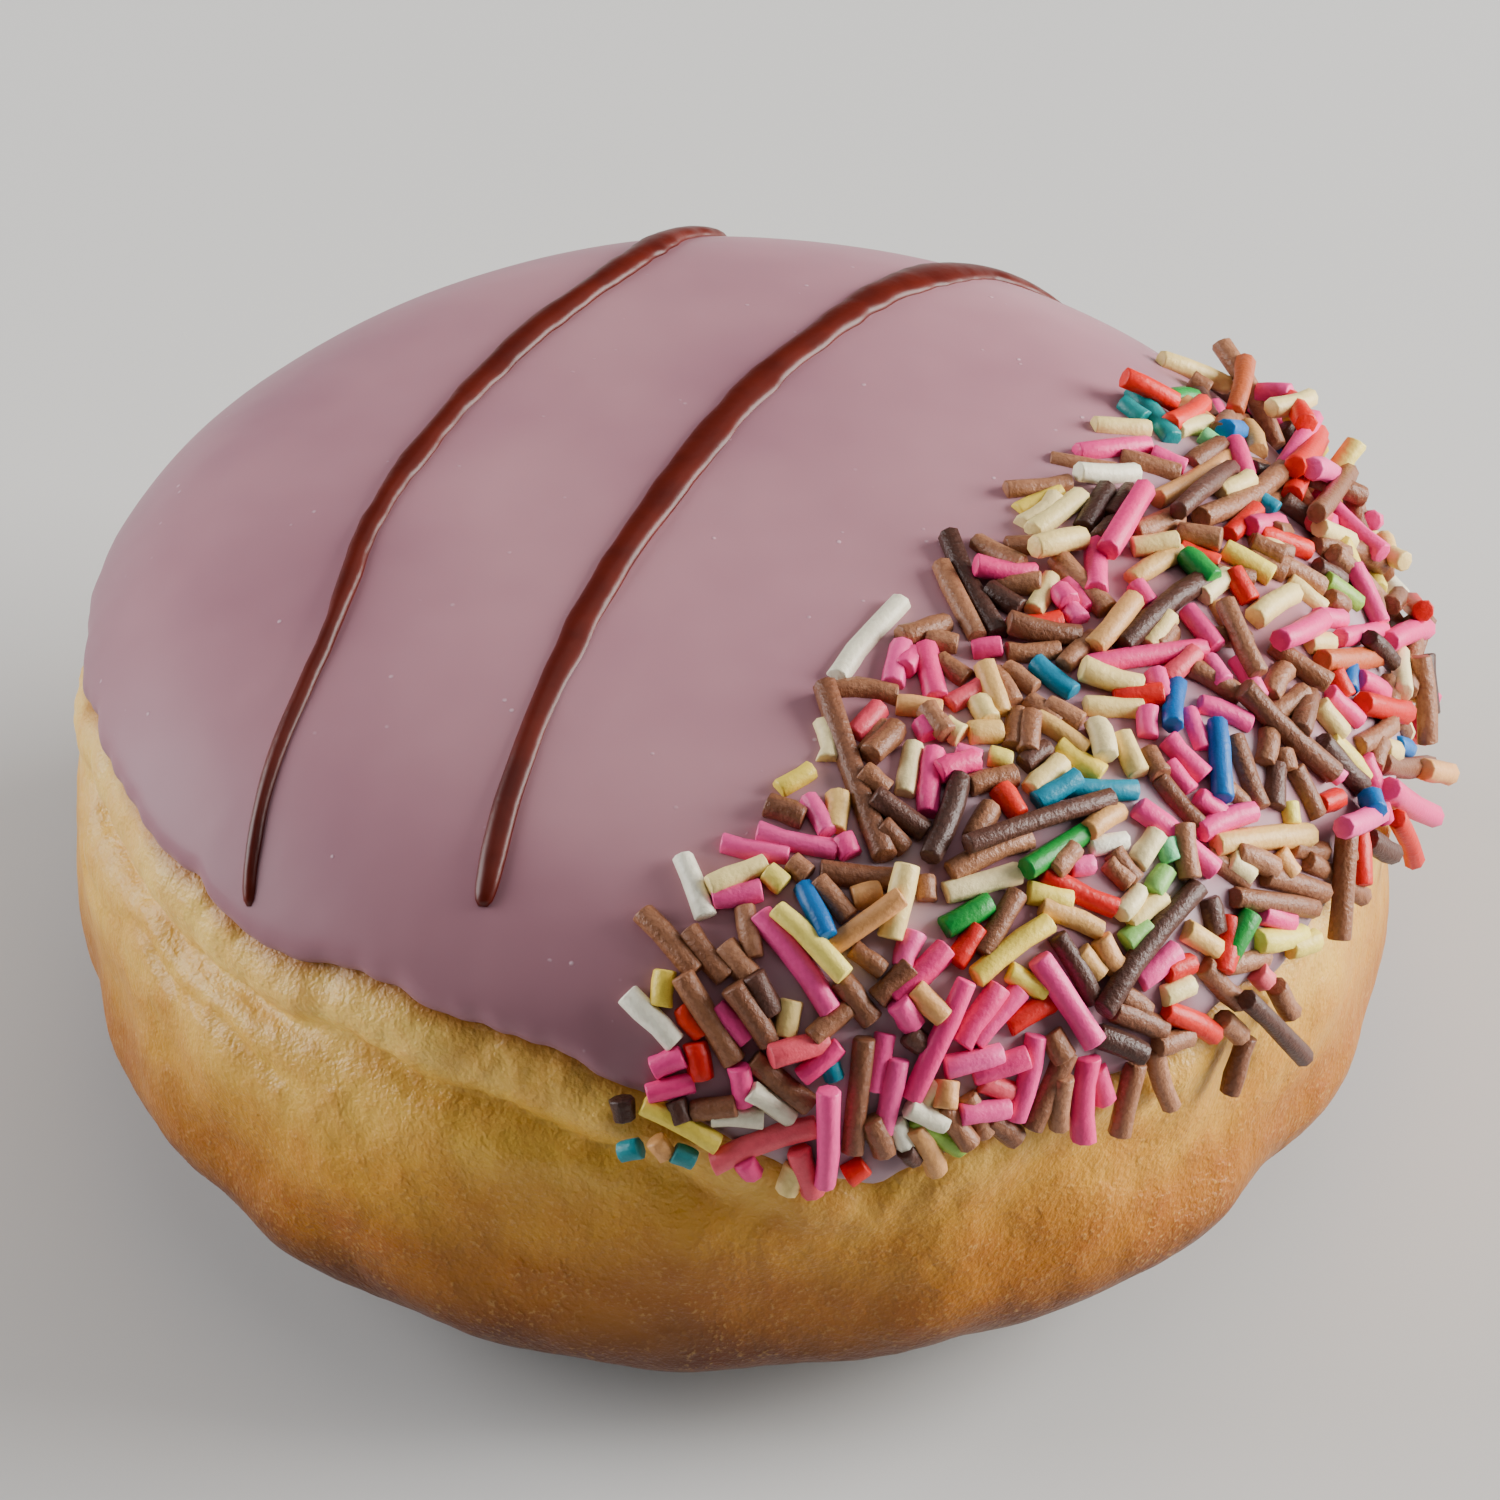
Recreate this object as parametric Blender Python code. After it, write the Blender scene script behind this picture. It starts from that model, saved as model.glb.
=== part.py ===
# A filled doughnut: a fried bun, a cap of pink icing, two chocolate lines and sugar sprinkles on one side.
# Sizes are in metres and +Z is up. The origin is on the table, under the middle of the bun.
# The front is -Y. Azimuths turn from +X towards +Y, and a drop is an angle down from straight up.

import math
import random
from dataclasses import dataclass, field

import bmesh
import bpy
from mathutils import Matrix, Vector, noise

MM = 0.001
DEGREE = math.radians(1)

# The bun's profile: a flattened round with its widest line low down
BUN_HALF_WIDTH = 45 * MM
WIDEST_HEIGHT = 12.6 * MM
TOP_RISE = 31.5 * MM
BOTTOM_DROP = 13 * MM
TOP_SQUARENESS = 3.6
BOTTOM_SQUARENESS = 2.5
BUN_SEGMENTS = 56
BUN_RINGS = 32

# Shares of the bun's rings that lie under the icing and, next, in the creased band below its edge.
# The rest crowd towards the bun's widest line.
RINGS_UNDER_ICING = 0.28
RINGS_IN_BAND = 0.25
BAND_REACH = 13 * DEGREE
BOTTOM_CROWDING = 1.6

# The skin's low crown, its soft lumps, and the crease that runs below the icing on the left
CROWN_RISE = 1.0 * MM
CROWN_DROP = 55 * DEGREE
LUMP_HEIGHT = 0.8 * MM
LUMP_PITCH = 1.6
LUMP_PLACE = Vector((3.1, 7.4, 1.9))
CREASE_DEPTH = 0.8 * MM
CREASE_WIDTH = 1.4 * MM
CREASE_BELOW_ICING = 5 * MM
CREASE_MIDDLE = -133 * DEGREE
CREASE_REACH = 45 * DEGREE

# The icing: a thin cap with a wavy lower edge
ICING_GAP = 0.45 * MM
ICING_THICKNESS = 1.2 * MM
ICING_RIM = 1.6 * MM
ICING_SEGMENTS = 56
ICING_RINGS = 24
RIM_CROWDING = 1.5
# Heights of the icing's edge above the table, at even steps of azimuth from -180 degrees
EDGE_HEIGHTS = [
    height * MM for height in (32, 33, 33, 33.5, 31.5, 25.5, 28, 28, 28.5, 28, 27, 29, 31, 32, 31, 32.5, 33, 32)
]

# The two chocolate lines: places seen from above, in millimetres, from the back to the front
LEFT_LINE = (
    (-1, 39.5), (-4.5, 33.5), (-8, 27), (-14.5, 18), (-20, 7), (-23.5, -2.5), (-26.5, -14), (-30, -28.5)
)
RIGHT_LINE = (
    (22.5, 35.5), (17.5, 32.5), (12.5, 27), (7.5, 19.5), (1.5, 10.5), (-5, -3), (-11, -18), (-15.5, -34)
)
# Their widths at the back and at the front
LEFT_LINE_WIDTHS = (2.9 * MM, 1.1 * MM)
RIGHT_LINE_WIDTHS = (3.5 * MM, 1.7 * MM)
LINE_HEIGHT = 0.75 * MM
LINE_ROOT = 0.5 * MM
LINE_TAPER_SHARE = 0.06
LINE_TIP = 0.55
LINE_SIDES = 8
LINE_STEPS = 24

# The sprinkles: sugar rods on the side of the icing that lies beyond a straight line
SPRINKLE_SIDE = -31 * DEGREE
SPRINKLE_SPREAD = 76 * DEGREE
SPRINKLE_LINE = 15.6 * MM
LINE_WAVE = 0.9 * MM
LINE_WAVE_PITCH = 150
SPRINKLE_COUNT = 200
SPRINKLE_RADIUS = (0.62 * MM, 0.76 * MM)
SPRINKLE_LENGTHS = (4.2 * MM, 8 * MM)
SHORTEST = 1.5 * MM
BENT_SHARE = 0.1
BEND = 0.16
SPRINKLE_SIDES = 6
SPRINKLE_SEED = 11
CANDIDATES = 8
RIM_HOLD = 1.1 * MM
MOST_OVERHANG = 3.2 * MM
SUNK = 0.45 * MM
TOUCH_SHARE = 0.78
MOST_TILT = 0.6
MOST_LIFT = 2.8 * MM
SETTLE_PASSES = 5

# The front view: where its eye is, what it looks at, its width at a distance of 1, and the steps it is
# divided into. A sprinkle doesn't show in it where the icing turns this far away from the eye.
EYE = Vector((0, -396, 345)) * MM
AIM = Vector((1.25, 5.8, 19.5)) * MM
VIEW_WIDTH = 36 / 179.2
VIEW_STEPS = 1500
SIGHT_STEP = 1 * MM
SIGHT_START = 440 * MM
SIGHT_COUNT = 130
HIDDEN_SLOPE = 0.12

# The join leaves vertices this close together
WELD = 0.002 * MM

# Where the sprinkles that show in the front view lie: both ends of each, across and down in the view. Later
# ones lie on top of earlier ones.
SEEN_SPRINKLES = (
    (948, 536, 1000, 636), (836, 678, 901, 602), (824, 690, 884, 862), (641, 912, 696, 973),
    (687, 930, 726, 979), (626, 994, 676, 1044), (940, 565, 978, 638), (681, 975, 735, 1063),
    (758, 914, 831, 1013), (732, 986, 770, 1044), (682, 856, 706, 918), (708, 887, 766, 864),
    (757, 832, 838, 850), (820, 871, 901, 881), (874, 796, 926, 832), (904, 796, 914, 746),
    (925, 648, 937, 700), (869, 759, 897, 727), (975, 567, 1035, 576), (1008, 625, 1080, 637),
    (1006, 652, 1060, 650), (1005, 491, 1071, 484), (1032, 533, 1081, 497), (1077, 478, 1137, 474),
    (1076, 454, 1149, 447), (1093, 426, 1149, 431), (1160, 360, 1228, 386), (1133, 392, 1172, 441),
    (1122, 383, 1175, 406), (1056, 558, 1108, 612), (1083, 529, 1107, 489), (930, 858, 960, 778),
    (928, 816, 934, 752), (950, 874, 1030, 838), (946, 892, 1019, 872), (981, 955, 1018, 893),
    (893, 1000, 947, 948), (908, 864, 891, 938), (840, 980, 873, 1022), (752, 1058, 811, 1106),
    (864, 1036, 852, 1152), (711, 1117, 764, 1118), (642, 1104, 719, 1144), (646, 1096, 694, 1082),
    (712, 1163, 818, 1124), (828, 1088, 824, 1184), (770, 1057, 828, 1041), (899, 1058, 882, 1132),
    (1000, 986, 960, 1044), (944, 1068, 1002, 1055), (914, 1116, 963, 1149), (942, 1106, 972, 1146),
    (1066, 1050, 1030, 1128), (1035, 1034, 1014, 1120), (1088, 1056, 1082, 1140), (1136, 1062, 1118, 1135),
    (1154, 1048, 1170, 1106), (1112, 1010, 1163, 1031), (1098, 1035, 1146, 1056), (1055, 935, 1093, 1003),
    (1035, 718, 1087, 752), (1084, 706, 1142, 709), (1095, 724, 1105, 760), (1119, 735, 1138, 776),
    (1040, 906, 1101, 931), (1128, 924, 1164, 898), (1064, 788, 1137, 791), (1158, 778, 1199, 827),
    (1166, 739, 1204, 778), (1198, 704, 1250, 725), (1190, 668, 1240, 698), (1232, 737, 1258, 810),
    (1292, 768, 1316, 818), (1262, 875, 1322, 893), (1230, 898, 1312, 908), (1202, 964, 1240, 1003),
    (1238, 995, 1299, 1055), (1162, 1010, 1214, 1034), (1247, 1036, 1230, 1094), (1303, 860, 1360, 897),
    (1318, 742, 1360, 789), (1345, 828, 1340, 940), (1361, 757, 1383, 822), (1378, 789, 1424, 816),
    (1393, 818, 1411, 860), (1377, 764, 1424, 767), (1417, 742, 1431, 692), (1390, 680, 1412, 722),
    (1393, 656, 1415, 690), (1317, 705, 1342, 736), (1326, 694, 1358, 722), (1270, 645, 1327, 686),
    (1276, 644, 1320, 622), (1257, 628, 1272, 682), (1196, 637, 1250, 642), (1222, 604, 1266, 662),
    (1337, 640, 1378, 632), (1318, 663, 1378, 656), (1325, 556, 1388, 628), (1353, 494, 1362, 538),
    (1357, 535, 1382, 565), (1272, 562, 1322, 590), (1254, 620, 1292, 594), (1257, 535, 1308, 552),
    (1223, 549, 1271, 578), (1281, 502, 1331, 543), (1288, 473, 1310, 512), (1284, 470, 1313, 418),
    (1330, 488, 1357, 442), (1200, 519, 1284, 468), (1155, 504, 1236, 454), (1130, 581, 1180, 553),
    (1177, 533, 1221, 541), (1133, 534, 1178, 517), (1131, 550, 1178, 542), (1107, 552, 1144, 495),
    (1033, 556, 1084, 535), (1096, 637, 1135, 597), (1176, 516, 1230, 473), (1228, 537, 1260, 503),
    (1092, 652, 1205, 650), (1084, 660, 1141, 686), (1034, 662, 1074, 694), (1124, 637, 1210, 578),
    (1220, 343, 1277, 447), (1212, 845, 1326, 829), (1136, 807, 1221, 867), (1219, 719, 1217, 805),
    (1177, 684, 1170, 730), (1240, 690, 1331, 778), (964, 850, 1113, 797), (1041, 874, 1115, 909),
    (1025, 871, 1088, 831), (1100, 1012, 1195, 886), (1224, 962, 1252, 913), (975, 978, 1050, 921),
    (1036, 958, 1095, 1044), (966, 980, 911, 1100), (832, 945, 903, 895), (776, 908, 845, 976),
    (943, 929, 990, 902), (802, 886, 828, 938),
)


@dataclass
class Sprinkle:
    """A rod on the icing: where its middle lies, which way it points, and how far its ends are lifted."""

    middle: Vector
    upward: Vector
    along: Vector
    length: float
    radius: float
    bend: float
    lifts: list = field(default_factory=lambda: [0.0, 0.0])

    def point(self, share):
        """The point of the rod's axis at a share of the way along it."""
        lift = self.lifts[0] * (1 - share) + self.lifts[1] * share
        return self.middle + self.along * ((share - 0.5) * self.length) + self.upward * lift


def smooth_step(low, high, value):
    """0 below low, 1 above high, and a smooth ramp between."""
    share = min(1.0, max(0.0, (value - low) / (high - low)))
    return share * share * (3 - 2 * share)


def smooth_run(before, start, end, after, share):
    """The value at a share of the way from start to end on a smooth curve through four values."""
    bend = before * 2 - start * 5 + end * 4 - after
    twist = start * 3 - before - end * 3 + after
    return start + (end - before + (bend + twist * share) * share) * (share / 2)


def turned(azimuth, drop):
    """The unit direction at an azimuth and a drop."""
    across = math.sin(drop)
    return Vector((across * math.cos(azimuth), across * math.sin(azimuth), math.cos(drop)))


def angle_between(first, second):
    """The difference of two azimuths, from 0 to half a turn."""
    return abs((first - second + math.pi) % (2 * math.pi) - math.pi)


def half_profile(direction):
    """The height and squareness of the half of the profile that a direction looks at."""
    if direction.z > 0:
        return TOP_RISE, TOP_SQUARENESS
    return BOTTOM_DROP, BOTTOM_SQUARENESS


def edge_height(azimuth):
    """The icing's edge above the table, on a smooth closed curve through EDGE_HEIGHTS."""
    count = len(EDGE_HEIGHTS)
    place = (azimuth / (2 * math.pi) + 0.5) % 1.0 * count
    index = int(place)
    heights = [EDGE_HEIGHTS[(index + step) % count] for step in (-1, 0, 1, 2)]
    return smooth_run(*heights, place - index)


def drop_at_height(height):
    """The drop of the point of the bun's upper half at a height above the table."""
    rise = height - WIDEST_HEIGHT
    reach = BUN_HALF_WIDTH * (1 - (rise / TOP_RISE) ** TOP_SQUARENESS) ** (1 / TOP_SQUARENESS)
    return math.atan2(reach, rise)


def edge_drop(azimuth):
    """The drop of the icing's edge."""
    return drop_at_height(edge_height(azimuth))


def relief(direction):
    """How far the skin stands off the even profile: a low crown, soft lumps and the crease."""
    drop = math.acos(max(-1.0, min(1.0, direction.z)))
    azimuth = math.atan2(direction.y, direction.x)
    crown = CROWN_RISE * (1 - smooth_step(0, CROWN_DROP, drop))
    lumps = LUMP_HEIGHT * noise.noise(direction * LUMP_PITCH + LUMP_PLACE)
    crease_drop = drop_at_height(edge_height(azimuth) - CREASE_BELOW_ICING)
    off_crease = (drop - crease_drop) * BUN_HALF_WIDTH / CREASE_WIDTH
    fade = 1 - smooth_step(CREASE_REACH * 0.6, CREASE_REACH, angle_between(azimuth, CREASE_MIDDLE))
    return crown + lumps - CREASE_DEPTH * fade * math.exp(-off_crease * off_crease)


def even_normal(direction):
    """The outward normal of the even profile where a direction from its middle meets it."""
    rise, squareness = half_profile(direction)
    reach = math.hypot(direction.x, direction.y)
    if reach < 1e-9:
        return Vector((0, 0, math.copysign(1, direction.z)))
    across = (reach / BUN_HALF_WIDTH) ** (squareness - 1) / BUN_HALF_WIDTH
    upward = math.copysign((abs(direction.z) / rise) ** (squareness - 1) / rise, direction.z)
    return Vector((across * direction.x / reach, across * direction.y / reach, upward)).normalized()


def skin_point(direction, lift=0.0):
    """The point of the bun's skin that a unit direction from its middle meets, moved outwards by lift."""
    rise, squareness = half_profile(direction)
    across = (math.hypot(direction.x, direction.y) / BUN_HALF_WIDTH) ** squareness
    upward = (abs(direction.z) / rise) ** squareness
    point = direction * ((across + upward) ** (-1 / squareness) + relief(direction))
    return point + even_normal(direction) * lift + Vector((0, 0, WIDEST_HEIGHT))


def make_material(name, colour, roughness):
    """A Principled material with a colour and a roughness."""
    material = bpy.data.materials.new(name)
    material.use_nodes = True
    shader = material.node_tree.nodes["Principled BSDF"]
    shader.inputs["Base Color"].default_value = (*colour, 1)
    shader.inputs["Roughness"].default_value = roughness
    return material


def make_collection(name):
    """A new collection in the scene."""
    collection = bpy.data.collections.new(name)
    bpy.context.scene.collection.children.link(collection)
    return collection


def make_object(name, shape, collection, material=None):
    """An object in a collection, made from a bmesh, with smooth faces that point out."""
    bmesh.ops.recalc_face_normals(shape, faces=shape.faces)
    mesh = bpy.data.meshes.new(name)
    shape.to_mesh(mesh)
    shape.free()
    mesh.shade_smooth()
    thing = bpy.data.objects.new(name, mesh)
    collection.objects.link(thing)
    if material:
        mesh.materials.append(material)
    return thing


def ring_drop(azimuth, share):
    """The drop of the bun's ring at a share of the way down: rings crowd in the band below the icing."""
    edge = edge_drop(azimuth)
    if share < RINGS_UNDER_ICING:
        return edge * share / RINGS_UNDER_ICING
    share -= RINGS_UNDER_ICING
    if share < RINGS_IN_BAND:
        return edge + BAND_REACH * share / RINGS_IN_BAND
    share = (share - RINGS_IN_BAND) / (1 - RINGS_UNDER_ICING - RINGS_IN_BAND)
    return edge + BAND_REACH + (math.pi - edge - BAND_REACH) * share**BOTTOM_CROWDING


def make_bun(collection):
    """A ball rounded to the bun's skin, with a flat spot to stand on."""
    shape = bmesh.new()
    bmesh.ops.create_uvsphere(shape, u_segments=BUN_SEGMENTS, v_segments=BUN_RINGS, radius=1)
    for vert in shape.verts:
        azimuth = math.atan2(vert.co.y, vert.co.x)
        share = math.acos(max(-1.0, min(1.0, vert.co.z))) / math.pi
        vert.co = skin_point(turned(azimuth, ring_drop(azimuth, share)))
        vert.co.z = max(vert.co.z, 0)
    make_object("dough", shape, collection, make_material("fried_dough", (0.60, 0.34, 0.10), 0.55))


def icing_lift(azimuth, share):
    """The icing's outer face above the skin at a share of the way to its edge: level, then rounded off."""
    from_edge = (1 - share) * edge_drop(azimuth) * BUN_HALF_WIDTH
    inside = 1 - min(1.0, from_edge / ICING_RIM)
    return ICING_GAP + ICING_THICKNESS * math.sqrt(1 - inside * inside)


def make_icing(collection):
    """A ball flattened into a cap: its upper half is the icing's outer face, its lower half the inner."""
    shape = bmesh.new()
    bmesh.ops.create_uvsphere(shape, u_segments=ICING_SEGMENTS, v_segments=ICING_RINGS, radius=1)
    for vert in shape.verts:
        azimuth = math.atan2(vert.co.y, vert.co.x)
        latitude = math.asin(max(-1.0, min(1.0, vert.co.z))) / (math.pi / 2)
        share = 1 - abs(latitude) ** RIM_CROWDING
        lift = icing_lift(azimuth, share) if latitude > 0 else ICING_GAP
        vert.co = skin_point(turned(azimuth, share * edge_drop(azimuth)), lift)
    return make_object("icing", shape, collection, make_material("pink_icing", (0.42, 0.25, 0.28), 0.3))


def line_direction(places, share):
    """The direction of a chocolate line's middle at a share of the way along its places."""
    place = share * (len(places) - 1)
    index = min(int(place), len(places) - 2)
    corners = []
    for step in (index - 1, index, index + 1, index + 2):
        x, y = places[max(0, min(step, len(places) - 1))]
        reach = math.hypot(x, y) * MM / BUN_HALF_WIDTH
        rise = TOP_RISE * (1 - reach**TOP_SQUARENESS) ** (1 / TOP_SQUARENESS)
        corners.append(Vector((x * MM, y * MM, rise)))
    return smooth_run(*corners, place - index).normalized()


def make_line(name, places, widths, collection):
    """A piped line: a rod laid along the icing, wide at the back and narrow at the front."""
    top = ICING_GAP + ICING_THICKNESS
    shape = bmesh.new()
    lengthways = Matrix.Rotation(math.pi / 2, 4, "Y")
    bmesh.ops.create_cone(
        shape, cap_ends=True, segments=LINE_SIDES, radius1=1, radius2=1, depth=2, matrix=lengthways
    )
    sides = [edge for edge in shape.edges if abs(edge.verts[0].co.x - edge.verts[1].co.x) > 1]
    bmesh.ops.subdivide_edges(shape, edges=sides, cuts=LINE_STEPS - 1)
    for vert in shape.verts:
        share = (vert.co.x + 1) / 2
        direction = line_direction(places, share)
        here = skin_point(direction, top)
        onward = line_direction(places, min(share + 0.01, 1)) - line_direction(places, max(share - 0.01, 0))
        upward = even_normal(direction)
        sideways = upward.cross(onward).normalized()
        taper = LINE_TIP + (1 - LINE_TIP) * smooth_step(0, LINE_TAPER_SHARE, min(share, 1 - share))
        half_width = (widths[0] + (widths[1] - widths[0]) * share) / 2 * taper
        height = LINE_HEIGHT * taper if vert.co.z > 0 else LINE_ROOT
        vert.co = here + sideways * (vert.co.y * half_width) + upward * (vert.co.z * height)
    make_object(name, shape, collection)


def resting_height(radius):
    """The height above the skin of the axis of a sprinkle that is sunk into the icing a little."""
    return ICING_GAP + ICING_THICKNESS - SUNK + radius


def height_above(point):
    """The height of a point above the skin, along the skin's normal."""
    offset = point - Vector((0, 0, WIDEST_HEIGHT))
    direction = offset.normalized()
    skin = skin_point(direction) - Vector((0, 0, WIDEST_HEIGHT))
    return (offset.length - skin.length) * even_normal(direction).dot(direction)


def seen_point(across, down, height):
    """The point at a place in the front view where its line of sight meets this height above the skin.

    A line that stays higher gives its point closest to the skin.
    """
    forward = (AIM - EYE).normalized()
    right = forward.cross(Vector((0, 0, 1))).normalized()
    sight = forward * (VIEW_STEPS / VIEW_WIDTH)
    sight += right * (across - VIEW_STEPS / 2) - right.cross(forward) * (down - VIEW_STEPS / 2)
    sight.normalize()
    distances = [SIGHT_START + SIGHT_STEP * number for number in range(SIGHT_COUNT)]
    heights = [height_above(EYE + sight * distance) for distance in distances]
    reached = [distance for distance, above in zip(distances, heights) if above < height]
    if not reached:
        return EYE + sight * distances[heights.index(min(heights))]
    low = reached[0] - SIGHT_STEP
    high = reached[0]
    for _ in range(12):
        middle = (low + high) / 2
        if height_above(EYE + sight * middle) < height:
            high = middle
        else:
            low = middle
    return EYE + sight * high


def lay_seen_sprinkle(place, draw, laid):
    """A sprinkle whose ends are where they are seen, with its middle on the round icing or on earlier ones."""
    start_across, start_down, end_across, end_down = place
    radius = draw.uniform(*SPRINKLE_RADIUS)
    rest = resting_height(radius)
    lifts = (0, 0)
    for _ in range(2):
        start = seen_point(start_across, start_down, rest + lifts[0])
        end = seen_point(end_across, end_down, rest + lifts[1])
        upward = even_normal(((start + end) / 2 - Vector((0, 0, WIDEST_HEIGHT))).normalized())
        start -= upward * lifts[0]
        end -= upward * lifts[1]
        middle = (start + end) / 2
        middle += upward * max(0.0, rest - height_above(middle))
        run = end - start
        sprinkle = Sprinkle(middle, upward, run.normalized(), max(run.length, SHORTEST), radius, 0)
        settle(sprinkle, laid)
        lifts = tuple(sprinkle.lifts)
    return sprinkle


def lay_sprinkle(azimuth, drop, turn, length, radius, bend):
    """A sprinkle that lies on the icing."""
    direction = turned(azimuth, drop)
    upward = even_normal(direction)
    level = Vector((-math.sin(azimuth), math.cos(azimuth), 0))
    along = level * math.cos(turn) + upward.cross(level) * math.sin(turn)
    return Sprinkle(skin_point(direction, resting_height(radius)), upward, along, length, radius, bend)


def is_out_of_sight(sprinkle):
    """Whether the icing under a sprinkle turns away from the front view."""
    return sprinkle.upward.dot((EYE - sprinkle.middle).normalized()) < HIDDEN_SLOPE


def is_sprinkled(azimuth, drop, turn, length):
    """Whether a sprinkle of this length may lie here: beyond the line, and held by the icing at the rim."""
    middle = skin_point(turned(azimuth, drop))
    inwards = middle.x * math.cos(SPRINKLE_SIDE) + middle.y * math.sin(SPRINKLE_SIDE)
    sideways = middle.y * math.cos(SPRINKLE_SIDE) - middle.x * math.sin(SPRINKLE_SIDE)
    wave = LINE_WAVE * noise.noise(Vector((sideways * LINE_WAVE_PITCH, 0, 0)))
    above_edge = middle.z - edge_height(azimuth)
    upright = abs(math.sin(turn)) * length / 2
    is_held = above_edge > 0 and above_edge + upright > RIM_HOLD
    return inwards > SPRINKLE_LINE + wave and is_held and above_edge - upright > -MOST_OVERHANG


def draw_sprinkle(draw, length, laid):
    """The best of a few random places out of sight for a sprinkle: the one farthest from those already laid."""
    bend = BEND * length * draw.choice((-1, 1)) if draw.random() < BENT_SHARE else 0
    radius = draw.uniform(*SPRINKLE_RADIUS)
    best = None
    farthest = -1
    tried = 0
    while tried < CANDIDATES:
        azimuth = SPRINKLE_SIDE + draw.uniform(-SPRINKLE_SPREAD, SPRINKLE_SPREAD)
        drop = math.acos(draw.uniform(math.cos(75 * DEGREE), 1))
        turn = draw.uniform(0, math.pi)
        if not is_sprinkled(azimuth, drop, turn, length):
            continue
        sprinkle = lay_sprinkle(azimuth, drop, turn, length, radius, bend)
        if not is_out_of_sight(sprinkle):
            continue
        tried += 1
        nearest = min((sprinkle.middle - other.middle).length for other in laid)
        if nearest > farthest:
            best = sprinkle
            farthest = nearest
    return best


def lift_clear(sprinkle, share, other):
    """Lift a sprinkle where it would pass through an earlier one, so that the two only press together."""
    here = sprinkle.point(share)
    start = other.point(0) - here
    run = other.point(1) - other.point(0)
    upward = sprinkle.upward
    flat_start = start - upward * start.dot(upward)
    flat_run = run - upward * run.dot(upward)
    along = max(0.0, min(1.0, -flat_start.dot(flat_run) / max(flat_run.length_squared, 1e-12)))
    offset = start + run * along
    rise = -offset.dot(upward)
    aside = (offset + upward * rise).length
    touch = TOUCH_SHARE * (sprinkle.radius + other.radius)
    if aside >= touch:
        return
    needed = math.sqrt(touch * touch - aside * aside) - rise
    if needed <= 0:
        return
    weight = (1 - share) ** 2 + share**2
    sprinkle.lifts[0] += needed * (1 - share) / weight
    sprinkle.lifts[1] += needed * share / weight
    most = MOST_TILT * sprinkle.length
    sprinkle.lifts[0] = max(sprinkle.lifts[0], sprinkle.lifts[1] - most)
    sprinkle.lifts[1] = max(sprinkle.lifts[1], sprinkle.lifts[0] - most)


def settle(sprinkle, laid):
    """Rest a sprinkle on those already laid."""
    near = []
    for other in laid:
        if (other.middle - sprinkle.middle).length < (other.length + sprinkle.length) / 2 + 2 * MM:
            near.append(other)
    steps = max(2, math.ceil(sprinkle.length / MM))
    for _ in range(SETTLE_PASSES):
        for step in range(steps + 1):
            for other in near:
                lift_clear(sprinkle, step / steps, other)


def lay_sprinkles():
    """All the sprinkles: those seen from the front, then random ones out of sight, from the longest down."""
    draw = random.Random(SPRINKLE_SEED)
    laid = []
    for place in SEEN_SPRINKLES:
        laid.append(lay_seen_sprinkle(place, draw, laid))
    shortest, longest = SPRINKLE_LENGTHS
    count = SPRINKLE_COUNT - len(SEEN_SPRINKLES)
    for number in range(count):
        sprinkle = draw_sprinkle(draw, longest + (shortest - longest) * number / count, laid)
        settle(sprinkle, laid)
        if max(sprinkle.lifts) < MOST_LIFT:
            laid.append(sprinkle)
    return laid


def make_sprinkle(name, sprinkle, collection):
    """A six-sided rod, with a kink in the middle if it is bent."""
    run = sprinkle.point(1) - sprinkle.point(0)
    along = run.normalized()
    side = along.cross(sprinkle.upward).normalized()
    facing = Matrix((side.cross(along), side, along)).transposed().to_4x4()
    shape = bmesh.new()
    bmesh.ops.create_cone(
        shape,
        cap_ends=True,
        segments=SPRINKLE_SIDES,
        radius1=sprinkle.radius,
        radius2=sprinkle.radius,
        depth=run.length,
        matrix=Matrix.Translation(sprinkle.point(0.5)) @ facing,
    )
    if sprinkle.bend:
        sides = [edge for edge in shape.edges if edge.calc_length() > run.length * 0.9]
        cut = bmesh.ops.subdivide_edges(shape, edges=sides, cuts=1)
        middle = [part for part in cut["geom_inner"] if isinstance(part, bmesh.types.BMVert)]
        bmesh.ops.translate(shape, verts=middle, vec=side * sprinkle.bend)
    make_object(name, shape, collection)


def join_toppings(icing, toppings):
    """Join everything in a collection to the icing, then remove the collection."""
    joint = icing.modifiers.new("toppings", "BOOLEAN")
    joint.operation = "UNION"
    joint.operand_type = "COLLECTION"
    joint.collection = toppings
    joint.solver = "EXACT"
    bpy.context.view_layer.objects.active = icing
    bpy.ops.object.modifier_apply(modifier=joint.name)
    for thing in list(toppings.objects):
        bpy.data.objects.remove(thing)
    bpy.data.collections.remove(toppings)


def keep_main_body(thing):
    """Keep the largest island of a mesh: this fills sealed hollows and drops loose scraps."""
    shape = bmesh.new()
    shape.from_mesh(thing.data)
    bmesh.ops.remove_doubles(shape, verts=shape.verts, dist=WELD)
    bmesh.ops.dissolve_degenerate(shape, edges=shape.edges, dist=WELD)
    bmesh.ops.triangulate(shape, faces=shape.faces)
    left = set(shape.verts)
    main = set()
    while left:
        first = left.pop()
        island = {first}
        waiting = [first]
        while waiting:
            vert = waiting.pop()
            for edge in vert.link_edges:
                other = edge.other_vert(vert)
                if other in left:
                    left.remove(other)
                    island.add(other)
                    waiting.append(other)
        if len(island) > len(main):
            main = island
    scraps = [vert for vert in shape.verts if vert not in main]
    bmesh.ops.delete(shape, geom=scraps, context="VERTS")
    shape.to_mesh(thing.data)
    shape.free()


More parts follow.
